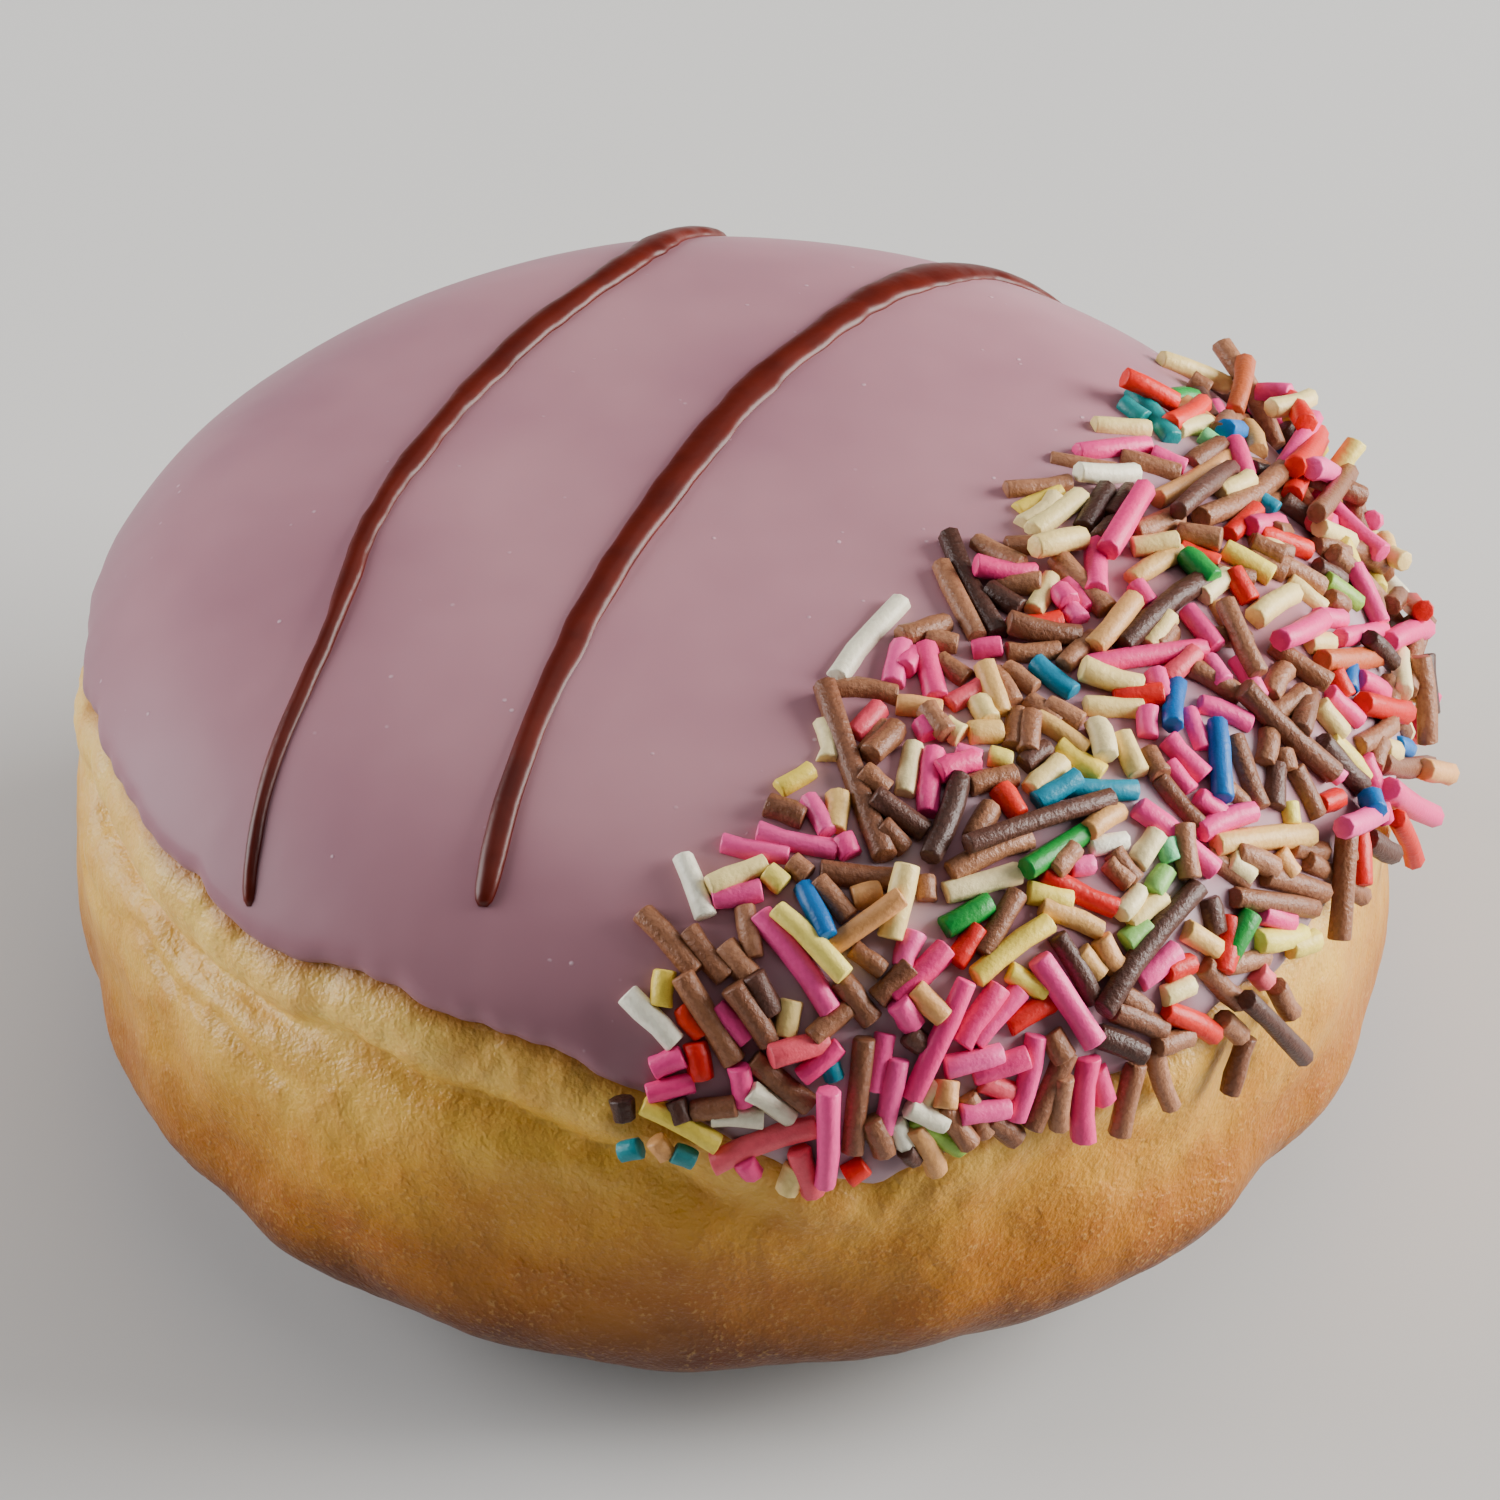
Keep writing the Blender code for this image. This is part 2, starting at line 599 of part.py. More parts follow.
def main():
    for thing in list(bpy.data.objects):
        bpy.data.objects.remove(thing)
    doughnut = make_collection("doughnut")
    toppings = make_collection("toppings")
    make_bun(doughnut)
    icing = make_icing(doughnut)
    make_line("left_line", LEFT_LINE, LEFT_LINE_WIDTHS, toppings)
    make_line("right_line", RIGHT_LINE, RIGHT_LINE_WIDTHS, toppings)
    for number, sprinkle in enumerate(lay_sprinkles()):
        make_sprinkle(f"sprinkle_{number}", sprinkle, toppings)
    join_toppings(icing, toppings)
    keep_main_body(icing)


main()
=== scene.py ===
# A filled doughnut with pink icing, chocolate lines and sugar sprinkles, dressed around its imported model.
# Metres, +Z up, the front is -Y. Azimuths turn from +X towards +Y; a drop is an angle down from straight up.

import math
import random

import bmesh
import bpy
from mathutils import Matrix, Vector, noise


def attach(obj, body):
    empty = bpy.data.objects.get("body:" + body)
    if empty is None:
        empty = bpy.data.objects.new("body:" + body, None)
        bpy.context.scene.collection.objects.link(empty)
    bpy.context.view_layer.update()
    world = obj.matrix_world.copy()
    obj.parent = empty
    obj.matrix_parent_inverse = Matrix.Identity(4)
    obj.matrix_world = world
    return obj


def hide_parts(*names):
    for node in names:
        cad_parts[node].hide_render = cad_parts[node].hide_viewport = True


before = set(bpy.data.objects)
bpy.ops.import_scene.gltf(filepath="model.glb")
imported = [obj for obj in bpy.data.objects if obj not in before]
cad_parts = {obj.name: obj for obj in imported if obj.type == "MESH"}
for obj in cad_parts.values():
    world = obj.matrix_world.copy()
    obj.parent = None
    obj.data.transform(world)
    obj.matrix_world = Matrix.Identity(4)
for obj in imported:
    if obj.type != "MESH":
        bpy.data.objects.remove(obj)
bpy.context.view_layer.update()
degree = math.radians(1)
mm = 0.001


# Camera, floor and light

camera = {
    "place": (0, -0.396, 0.345),
    "aim": (0.00125, 0.0058, 0.0195),
    "lens": 179.2,
    "sensor": 36,
    "nearest": 0.01,
}
pictureSteps = 1500  # the camera's picture is square and this many steps wide where places are read off it
sightStep = 1 * mm
sightSteps = [0.44 + sightStep * number for number in range(130)]  # how far away the bun can be met
floor = {"size": 6.0, "colour": (0.66, 0.655, 0.64), "roughness": 0.8, "unevenness": 0.03, "grainPitch": 30}
lights = (  # name, place, size, strength in watts, colour
    ("overhead", (0.16, 0.12, 0.74), 0.9, 2.0, (1.0, 0.99, 0.97)),
    ("leftSoftbox", (-0.79, 0.14, 0.22), 0.6, 11.5, (0.98, 0.98, 1.0)),
    ("rightSoftbox", (0.79, 0.10, 0.22), 0.6, 26.0, (1.0, 0.98, 0.95)),
)
lightsAim = (0, 0, 0.02)
air = {"colour": (0.97, 0.98, 1.0), "strength": 0.075}


def aimAt(thing, place, aim):
    thing.location = place
    thing.rotation_euler = (Vector(aim) - Vector(place)).to_track_quat("-Z", "Y").to_euler()


def makeCamera():
    data = bpy.data.cameras.new("camera")
    data.lens = camera["lens"]
    data.sensor_width = camera["sensor"]
    data.clip_start = camera["nearest"]
    thing = bpy.data.objects.new("camera", data)
    aimAt(thing, camera["place"], camera["aim"])
    bpy.context.scene.collection.objects.link(thing)
    bpy.context.scene.camera = thing


def makeLights():
    for name, place, size, strength, colour in lights:
        data = bpy.data.lights.new(name, "AREA")
        data.size = size
        data.energy = strength
        data.color = colour
        thing = bpy.data.objects.new(name, data)
        aimAt(thing, place, lightsAim)
        bpy.context.scene.collection.objects.link(thing)
    world = bpy.data.worlds.new("air")
    world.use_nodes = True
    back = world.node_tree.nodes["Background"]
    back.inputs["Color"].default_value = (*air["colour"], 1)
    back.inputs["Strength"].default_value = air["strength"]
    bpy.context.scene.world = world


# Small helpers for meshes and materials

def smoothStep(low, high, value):
    share = min(1.0, max(0.0, (value - low) / (high - low)))
    return share * share * (3 - 2 * share)


def smoothRun(before, start, end, after, share):  # a smooth curve through four values
    bend = before * 2 - start * 5 + end * 4 - after
    twist = start * 3 - before - end * 3 + after
    return start + (end - before + (bend + twist * share) * share) * (share / 2)


def finishPiece(name, shape, material, node):
    bmesh.ops.recalc_face_normals(shape, faces=shape.faces)
    mesh = bpy.data.meshes.new(name)
    shape.to_mesh(mesh)
    shape.free()
    mesh.shade_smooth()
    mesh.materials.append(material)
    piece = bpy.data.objects.new(name, mesh)
    bpy.context.scene.collection.objects.link(piece)
    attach(piece, "root")
    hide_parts(node)
    return piece


def fromScreen(red, green, blue):  # a colour as seen on screen, 0 to 255, made linear
    linear = []
    for value in (red, green, blue):
        share = value / 255
        linear.append(share / 12.92 if share <= 0.04045 else ((share + 0.055) / 1.055) ** 2.4)
    return (*linear, 1)


def addNode(tree, kind, inputs=None, **settings):
    node = tree.nodes.new(kind)
    for key, value in settings.items():
        setattr(node, key, value)
    for key, value in (inputs or {}).items():
        if isinstance(value, bpy.types.NodeSocket):
            tree.links.new(value, node.inputs[key])
        else:
            node.inputs[key].default_value = value
    return node


def addNoise(tree, vector, scale, detail=2.0, roughness=0.5):
    inputs = {"Vector": vector, "Scale": scale, "Detail": detail, "Roughness": roughness}
    return addNode(tree, "ShaderNodeTexNoise", inputs).outputs["Fac"]


def addMath(tree, operation, first, second):
    return addNode(tree, "ShaderNodeMath", {0: first, 1: second}, operation=operation).outputs[0]


def addRange(tree, value, low, high, newLow=0.0, newHigh=1.0):
    inputs = {"Value": value, "From Min": low, "From Max": high, "To Min": newLow, "To Max": newHigh}
    return addNode(tree, "ShaderNodeMapRange", inputs, clamp=True).outputs[0]


def addMix(tree, share, first, second, blend="MIX"):
    node = addNode(tree, "ShaderNodeMix", data_type="RGBA", blend_type=blend)
    for index, value in ((0, share), (6, first), (7, second)):
        if isinstance(value, bpy.types.NodeSocket):
            tree.links.new(value, node.inputs[index])
        else:
            node.inputs[index].default_value = value
    return node.outputs[2]


def addRamp(tree, value, stops):
    node = addNode(tree, "ShaderNodeValToRGB", {"Fac": value})
    node.color_ramp.interpolation = "EASE"
    while len(node.color_ramp.elements) < len(stops):
        node.color_ramp.elements.new(1)
    for element, (place, colour) in zip(node.color_ramp.elements, stops):
        element.position = place
        element.color = colour
    return node.outputs["Color"]


def addBump(tree, height, strength, distance, normal=None):
    inputs = {"Height": height, "Strength": strength, "Distance": distance}
    if normal:
        inputs["Normal"] = normal
    return addNode(tree, "ShaderNodeBump", inputs).outputs["Normal"]


def newMaterial(name, **values):  # the values are the shader's own sockets, with _ for a space
    material = bpy.data.materials.new(name)
    material.use_nodes = True
    tree = material.node_tree
    shader = tree.nodes["Principled BSDF"]
    for key, value in values.items():
        shader.inputs[key.replace("_", " ")].default_value = value
    coords = addNode(tree, "ShaderNodeTexCoord").outputs["Object"]
    return material, tree, shader, coords


def makeFloor():
    material, tree, shader, coords = newMaterial("paleFloor", Roughness=floor["roughness"])
    grain = addNoise(tree, coords, floor["grainPitch"], 4)
    low = (*(value * (1 - floor["unevenness"]) for value in floor["colour"]), 1)
    colour = addMix(tree, grain, low, (*floor["colour"], 1))
    tree.links.new(colour, shader.inputs["Base Color"])
    shape = bmesh.new()
    bmesh.ops.create_grid(shape, x_segments=2, y_segments=2, size=floor["size"] / 2)
    mesh = bpy.data.meshes.new("floor")
    shape.to_mesh(mesh)
    shape.free()
    mesh.materials.append(material)
    thing = bpy.data.objects.new("floor", mesh)
    bpy.context.scene.collection.objects.link(thing)


makeCamera()
makeLights()
makeFloor()
print("camera, floor and light are up")


# The bun: a flattened round with its widest line low down, the same form as its solid

bun = {
    "halfWidth": 45 * mm,
    "widestHeight": 12.6 * mm,
    "topRise": 31.5 * mm,
    "bottomDrop": 13 * mm,
    "topSquareness": 3.6,
    "bottomSquareness": 2.5,
    "crownRise": 1.0 * mm,
    "crownDrop": 55 * degree,
    "lumpHeight": 0.8 * mm,
    "lumpPitch": 1.6,
    "lumpPlace": Vector((3.1, 7.4, 1.9)),
    "creaseDepth": 0.8 * mm,
    "creaseWidth": 1.4 * mm,
    "creaseBelowIcing": 5 * mm,
    "creaseMiddle": -133 * degree,
    "creaseReach": 45 * degree,
    "cuts": 125,
    "bareSkin": (-1.5 * mm, 1.0 * mm),  # below the icing's edge: where detail starts and where it is full
    "foldDepth": 1.1 * mm,
    "foldWidth": 0.6 * mm,
    "foldWander": 1.6 * mm,
    "foldWanderPitch": 6.5,
    "foldEvenness": 0.75,
    "foldUnevenness": 0.9,
    "foldUnevenPitch": 7,
    "branchDrop": 3.2 * mm,
    "branchShare": 0.6,
    "branchWander": 1.8,
    "branchMiddle": -150 * degree,
    "branchReach": 24 * degree,
    "rollHeight": 0.55 * mm,
    "rollMiddle": 2.4 * mm,
    "rollWidth": 1.7 * mm,
    "rollUnevenness": 0.8,
    "rollPitch": 5,
    "wrinkleDepth": 0.25 * mm,
    "wrinkleSharpness": 2.2,
    "wrinklePitch": 24,
    "wrinkleRun": 0.16,
    "wrinkleSlant": 0.3,
    "wrinkleReach": 6 * mm,
    "pocketDepth": 0.8 * mm,
    "pocketPitch": 5.5,
    "grainDepth": 0.07 * mm,
    "grainPitch": 26,
    "crustHeight": 34 * mm,
    "crust": (  # the share of that height, and the colour on screen there: partly the crust's frying colour, partly painted shade that darkens it towards the bottom
        (0.00, (52, 19, 0)),
        (0.18, (94, 44, 0)),
        (0.36, (156, 95, 4)),
        (0.54, (190, 135, 36)),
        (0.70, (212, 165, 66)),
        (0.86, (228, 188, 94)),
    ),
    "crustDrift": 2 * mm,
    "frontShadeShift": 3 * mm,  # painted shade: the crust colours sit this much higher up at the front, so the front is darker
    "rollColour": (220, 176, 92),
    "rollPaleness": (0.05, 0.42),
    # painted shade: a darker band on the dough just under the icing's lip
    "edgeShadeColour": (150, 82, 18),
    "edgeShadeShare": 0.8,
    "blotchColour": (216, 160, 92),
    "blotchShare": 0.4,
    # pale specks on the blisters: partly the dough's own pale blisters, partly painted glints
    "speckleGlintColour": (238, 198, 118),
    "speckleGlintShare": 0.22,
}
bunMiddle = Vector((0, 0, bun["widestHeight"]))
sprinkleSide = -31 * degree  # the azimuth of the middle of the sprinkled side
icing = {
    "gap": 0.45 * mm,
    "thickness": 1.2 * mm,
    "rim": 1.6 * mm,
    "rimCrowding": 1.5,
    # heights of its edge in millimetres, at even steps from the left past the front
    "edgeHeights": (32, 33, 33, 33.5, 31.5, 25.5, 28, 28, 28.5, 28, 27, 29, 31, 32, 31, 32.5, 33, 32),
    "segments": 540,
    "rings": 130,
    "edgeRipples": ((8, 0.9 * mm), (21, 0.45 * mm)),  # pitch and height of each
    "bead": 0.12,
    "beadWidth": 2.6 * mm,
    "swell": 0.2 * mm,
    "swellPitch": 3.2,
    "colours": ((158, 110, 123), (182, 132, 141)),
    "slopeShadeColour": (116, 79, 88),
    "slopeShadeHeights": (42 * mm, 29 * mm),  # where the darker colour of its side starts and where it is full: partly thinner icing over the dough, partly painted shade on the side turned from the light
    "frostColour": (190, 172, 182),
    "frostShare": 0.6,
    "frostInwards": (15 * mm, 24 * mm),  # from the middle towards the sprinkled side
    "speckColour": (214, 180, 190),
    "speckShare": 0.7,
    "speckPitch": 620.0,
}


def turned(azimuth, drop):
    across = math.sin(drop)
    return Vector((across * math.cos(azimuth), across * math.sin(azimuth), math.cos(drop)))


def dropOf(direction):
    return math.acos(max(-1.0, min(1.0, direction.z)))


def fadeAround(azimuth, middle, reach):  # 1 near the middle azimuth, 0 beyond the reach to either side of it
    aside = abs((azimuth - middle + math.pi) % (2 * math.pi) - math.pi)
    return 1 - smoothStep(reach * 0.6, reach, aside)


def halfProfile(direction):
    if direction.z > 0:
        return bun["topRise"], bun["topSquareness"]
    return bun["bottomDrop"], bun["bottomSquareness"]


def edgeHeight(azimuth):  # of the icing's edge above the table
    heights = icing["edgeHeights"]
    place = (azimuth / (2 * math.pi) + 0.5) % 1.0 * len(heights)
    index = int(place)
    four = [heights[(index + step) % len(heights)] * mm for step in (-1, 0, 1, 2)]
    return smoothRun(*four, place - index)


def dropAtHeight(height):
    rise = height - bun["widestHeight"]
    squareness = bun["topSquareness"]
    reach = bun["halfWidth"] * (1 - (rise / bun["topRise"]) ** squareness) ** (1 / squareness)
    return math.atan2(reach, rise)


def edgeDrop(azimuth):
    return dropAtHeight(edgeHeight(azimuth))


def icingEdgeDrop(azimuth):  # the same edge with the small scallops of poured icing
    around = Vector((math.cos(azimuth), math.sin(azimuth), 0.3))
    ripple = sum(height * noise.noise(around * pitch) for pitch, height in icing["edgeRipples"])
    return edgeDrop(azimuth) + ripple / bun["halfWidth"]


def relief(direction):  # the crown, the soft lumps and the crease, as in the solid
    drop = dropOf(direction)
    azimuth = math.atan2(direction.y, direction.x)
    crown = bun["crownRise"] * (1 - smoothStep(0, bun["crownDrop"], drop))
    lumps = bun["lumpHeight"] * noise.noise(direction * bun["lumpPitch"] + bun["lumpPlace"])
    creaseDrop = dropAtHeight(edgeHeight(azimuth) - bun["creaseBelowIcing"])
    offCrease = (drop - creaseDrop) * bun["halfWidth"] / bun["creaseWidth"]
    fade = fadeAround(azimuth, bun["creaseMiddle"], bun["creaseReach"])
    return crown + lumps - bun["creaseDepth"] * fade * math.exp(-offCrease * offCrease)


def evenNormal(direction):
    rise, squareness = halfProfile(direction)
    reach = math.hypot(direction.x, direction.y)
    if reach < 1e-9:
        return Vector((0, 0, math.copysign(1, direction.z)))
    across = (reach / bun["halfWidth"]) ** (squareness - 1) / bun["halfWidth"]
    upward = math.copysign((abs(direction.z) / rise) ** (squareness - 1) / rise, direction.z)
    return Vector((across * direction.x / reach, across * direction.y / reach, upward)).normalized()


def skinPoint(direction, lift=0.0):
    rise, squareness = halfProfile(direction)
    across = (math.hypot(direction.x, direction.y) / bun["halfWidth"]) ** squareness
    upward = (abs(direction.z) / rise) ** squareness
    point = direction * ((across + upward) ** (-1 / squareness) + relief(direction))
    return point + evenNormal(direction) * lift + bunMiddle


def foldAt(offset, azimuth, middle, reach):  # how deep a fold is at an offset from its middle line
    return fadeAround(azimuth, middle, reach) * math.exp(-((offset / bun["foldWidth"]) ** 2))


def belowIcing(direction):  # how far below the icing's edge a direction from the middle meets the skin
    return (dropOf(direction) - icingEdgeDrop(math.atan2(direction.y, direction.x))) * bun["halfWidth"]


def doughDetail(direction, below):  # a puffed roll, wrinkles, sharp folds and soft pockets of the bare skin
    bare = smoothStep(*bun["bareSkin"], below)
    if bare == 0:
        return 0.0
    azimuth = math.atan2(direction.y, direction.x)
    wander = bun["foldWander"] * noise.noise(direction * bun["foldWanderPitch"])
    broken = noise.noise(direction * bun["foldUnevenPitch"] + Vector((5, 0, 0)))
    broken = bun["foldEvenness"] + bun["foldUnevenness"] * broken
    offFold = below - bun["creaseBelowIcing"] - wander
    fold = foldAt(offFold, azimuth, bun["creaseMiddle"], bun["creaseReach"])
    offBranch = below - bun["creaseBelowIcing"] - bun["branchDrop"] - wander * bun["branchWander"]
    fold += bun["branchShare"] * foldAt(offBranch, azimuth, bun["branchMiddle"], bun["branchReach"])
    around = azimuth * bun["wrinklePitch"] + below / mm * bun["wrinkleSlant"]
    nearEdge = 1 - smoothStep(bun["wrinkleReach"] * 0.4, bun["wrinkleReach"], below)
    wrinkle = abs(noise.noise(Vector((around, below / mm * bun["wrinkleRun"], 2.5))))
    wrinkle = bun["wrinkleDepth"] * nearEdge * (1 - bun["wrinkleSharpness"] * wrinkle)
    swelling = math.exp(-(((below - bun["rollMiddle"]) / bun["rollWidth"]) ** 2))
    uneven = bun["rollUnevenness"] * (1 + noise.noise(direction * bun["rollPitch"]))
    roll = bun["rollHeight"] * swelling * uneven
    pockets = bun["pocketDepth"] * noise.noise(direction * bun["pocketPitch"] + Vector((0, 4, 9)))
    grain = bun["grainDepth"] * noise.noise(direction * bun["grainPitch"])
    return bare * (roll + pockets + grain - bun["foldDepth"] * broken * fold + wrinkle)


def doughMaterial():
    material, tree, shader, coords = newMaterial(
        "friedDough",
        Subsurface_Weight=0.12,
        Subsurface_Radius=(1.0, 0.45, 0.15),
        Subsurface_Scale=1.5 * mm,
        Specular_IOR_Level=0.3,
    )
    axes = addNode(tree, "ShaderNodeSeparateXYZ", {0: coords}).outputs
    drift = bun["crustDrift"]
    patches = addRange(tree, addNoise(tree, coords, 60, 3), 0.3, 0.7, -drift, drift)
    # painted shade: the darker crust colours are moved up at the front
    frontShade = addRange(tree, axes["Y"], -20 * mm, -42 * mm, 0.0, bun["frontShadeShift"])
    patches = addMath(tree, "SUBTRACT", patches, frontShade)
    # crust colour by height: partly frying colour, partly painted shade, darker towards the bottom
    fryAndShade = addRange(tree, addMath(tree, "ADD", axes["Z"], patches), 0.0, bun["crustHeight"])
    colour = addRamp(tree, fryAndShade, [(place, fromScreen(*tone)) for place, tone in bun["crust"]])
    below = addNode(tree, "ShaderNodeAttribute", attribute_name="below").outputs["Fac"]
    roll = addRange(tree, below, 1.5, 5.5, 1.0, 0.0)
    pale = addRange(tree, addNoise(tree, coords, 160, 3), 0.3, 0.6, *bun["rollPaleness"])
    colour = addMix(tree, addMath(tree, "MULTIPLY", roll, pale), colour, fromScreen(*bun["rollColour"]))
    # painted shade just under the icing's edge
    edgeShade = addRange(tree, below, 0.2, 1.3, bun["edgeShadeShare"], 0.0)
    colour = addMix(tree, edgeShade, colour, fromScreen(*bun["edgeShadeColour"]))
    mottle = addNoise(tree, coords, 300, 4, 0.6)
    blotches = addMath(tree, "MULTIPLY", addRange(tree, mottle, 0.4, 0.7), bun["blotchShare"])
    colour = addMix(tree, blotches, colour, fromScreen(*bun["blotchColour"]), "MULTIPLY")
    blisters = addNoise(tree, coords, 3000, 2)
    raised = addRange(tree, blisters, 0.56, 0.7)
    # pale specks: partly the dough's own pale blisters, partly painted glints
    speckleGlints = addMath(tree, "MULTIPLY", raised, addRange(tree, mottle, 0.36, 0.56))
    speckleGlints = addMath(tree, "MULTIPLY", speckleGlints, bun["speckleGlintShare"])
    colour = addMix(tree, speckleGlints, colour, fromScreen(*bun["speckleGlintColour"]))
    tree.links.new(colour, shader.inputs["Base Color"])
    tree.links.new(addRange(tree, mottle, 0.3, 0.7, 0.34, 0.46), shader.inputs["Roughness"])
    hollows = addBump(tree, addNoise(tree, coords, 130, 2), 0.45, 2.2 * mm)
    coarse = addBump(tree, mottle, 0.8, 0.6 * mm, hollows)
    tree.links.new(addBump(tree, blisters, 0.6, 0.16 * mm, coarse), shader.inputs["Normal"])
    return material


def makeBun():
    shape = bmesh.new()
    bmesh.ops.create_cube(shape, size=2)
    bmesh.ops.subdivide_edges(shape, edges=shape.edges, cuts=bun["cuts"], use_grid_fill=True)
    layer = shape.verts.layers.float.new("below")
    for vert in shape.verts:
        even = Vector(math.tan(side * math.pi / 4) for side in vert.co)
        direction = even.normalized()
        below = belowIcing(direction)
        vert[layer] = below / mm
        vert.co = skinPoint(direction, doughDetail(direction, below))
        vert.co.z = max(vert.co.z, 0)
    finishPiece("bun", shape, doughMaterial(), "dough")


makeBun()
print("the bun is made")


# The icing: a thin cap, with a rounded lip along its wavy edge

def icingLift(azimuth, share):
    fromEdge = (1 - share) * icingEdgeDrop(azimuth) * bun["halfWidth"]
    inside = 1 - min(1.0, fromEdge / icing["rim"])
    bead = 1 + icing["bead"] * math.exp(-(((fromEdge - icing["rim"]) / icing["beadWidth"]) ** 2))
    return icing["gap"] + icing["thickness"] * bead * math.sqrt(1 - inside * inside)


def icingMaterial():
    material, tree, shader, coords = newMaterial(
        "pinkIcing",
        Subsurface_Weight=0.15,
        Subsurface_Radius=(1.0, 0.55, 0.5),
        Subsurface_Scale=1.2 * mm,
        Specular_IOR_Level=0.15,
    )
    clouds = addRange(tree, addNoise(tree, coords, 45, 3), 0.3, 0.7)
    stains = addNoise(tree, coords, 110, 2)
    colour = addMix(tree, clouds, *(fromScreen(*tone) for tone in icing["colours"]))
    height = addNode(tree, "ShaderNodeSeparateXYZ", {0: coords}).outputs["Z"]
    # darker down the side: partly thinner icing, partly painted shade
    slopeShade = addRange(tree, height, *icing["slopeShadeHeights"], 0.0, 1.0)
    colour = addMix(tree, slopeShade, colour, fromScreen(*icing["slopeShadeColour"]))
    aside = {0: coords, 1: (math.cos(sprinkleSide), math.sin(sprinkleSide), 0)}
    inwards = addNode(tree, "ShaderNodeVectorMath", aside, operation="DOT_PRODUCT").outputs["Value"]
    covered = addRange(tree, inwards, *icing["frostInwards"])
    frost = addMath(tree, "MULTIPLY", covered, addRange(tree, stains, 0.42, 0.6, 0, icing["frostShare"]))
    colour = addMix(tree, frost, colour, fromScreen(*icing["frostColour"]))
    spread = addNode(tree, "ShaderNodeTexVoronoi", {"Vector": coords, "Scale": icing["speckPitch"]})
    dots = addRange(tree, spread.outputs["Distance"], 0.05, 0.12, 1.0, 0.0)
    specks = addMath(tree, "MULTIPLY", dots, addRange(tree, addNoise(tree, coords, 330, 1), 0.58, 0.64))
    speckled = addMath(tree, "MULTIPLY", specks, icing["speckShare"])
    colour = addMix(tree, speckled, colour, fromScreen(*icing["speckColour"]))
    tree.links.new(colour, shader.inputs["Base Color"])
    tree.links.new(addRange(tree, clouds, 0, 1, 0.36, 0.44), shader.inputs["Roughness"])
    ripple = addBump(tree, stains, 0.2, 0.8 * mm)
    tree.links.new(addBump(tree, specks, 0.5, 0.12 * mm, ripple), shader.inputs["Normal"])
    return material


def makeIcing():
    shape = bmesh.new()
    bmesh.ops.create_uvsphere(shape, u_segments=icing["segments"], v_segments=icing["rings"], radius=1)
    for vert in shape.verts:
        azimuth = math.atan2(vert.co.y, vert.co.x)
        latitude = math.asin(max(-1.0, min(1.0, vert.co.z))) / (math.pi / 2)
        share = 1 - abs(latitude) ** icing["rimCrowding"]
        direction = turned(azimuth, share * icingEdgeDrop(azimuth))
        lift = icing["gap"]
        if latitude > 0:
            lift = icingLift(azimuth, share) + icing["swell"] * noise.noise(direction * icing["swellPitch"])
        vert.co = skinPoint(direction, lift)
    finishPiece("icingCap", shape, icingMaterial(), "icing")


makeIcing()
print("the icing is poured")


# The two chocolate lines

lines = {
    "places": {  # seen from above, in millimetres, from the back to the front
        "leftLine": (
            (-1, 39.5), (-4.5, 33.5), (-8, 27), (-14.5, 18),
            (-20, 7), (-23.5, -2.5), (-26.5, -14), (-30, -28.5),
        ),
        "rightLine": (
            (22.5, 35.5), (17.5, 32.5), (12.5, 27), (7.5, 19.5),
            (1.5, 10.5), (-5, -3), (-11, -18), (-15.5, -34),
        ),
    },
    "widths": {"leftLine": (2.9 * mm, 1.1 * mm), "rightLine": (3.5 * mm, 1.7 * mm)},  # at back and front
    "height": 0.75 * mm,
    "root": 0.35 * mm,
    "tip": 0.4,
    "taperShare": 0.03,
    "flattening": 0.25,
    "unevenness": 0.3,
    "unevenPitches": (14, 3.1),
    "sides": 20,
    "steps": 170,
    "colours": ((74, 14, 5), (92, 23, 9)),
}


def lineDirection(places, share):
    place = share * (len(places) - 1)
    index = min(int(place), len(places) - 2)
    corners = []
    for step in (index - 1, index, index + 1, index + 2):
        x, y = places[max(0, min(step, len(places) - 1))]
        reach = math.hypot(x, y) * mm / bun["halfWidth"]
        rise = bun["topRise"] * (1 - reach ** bun["topSquareness"]) ** (1 / bun["topSquareness"])
        corners.append(Vector((x * mm, y * mm, rise)))
    return smoothRun(*corners, place - index).normalized()


def chocolateMaterial():
    material, tree, shader, coords = newMaterial("chocolate", Specular_IOR_Level=0.28, Roughness=0.38)
    clouds = addRange(tree, addNoise(tree, coords, 300, 3), 0.3, 0.7)
    colour = addMix(tree, clouds, *(fromScreen(*tone) for tone in lines["colours"]))
    tree.links.new(colour, shader.inputs["Base Color"])
    tree.links.new(addBump(tree, clouds, 0.2, 0.3 * mm), shader.inputs["Normal"])
    return material


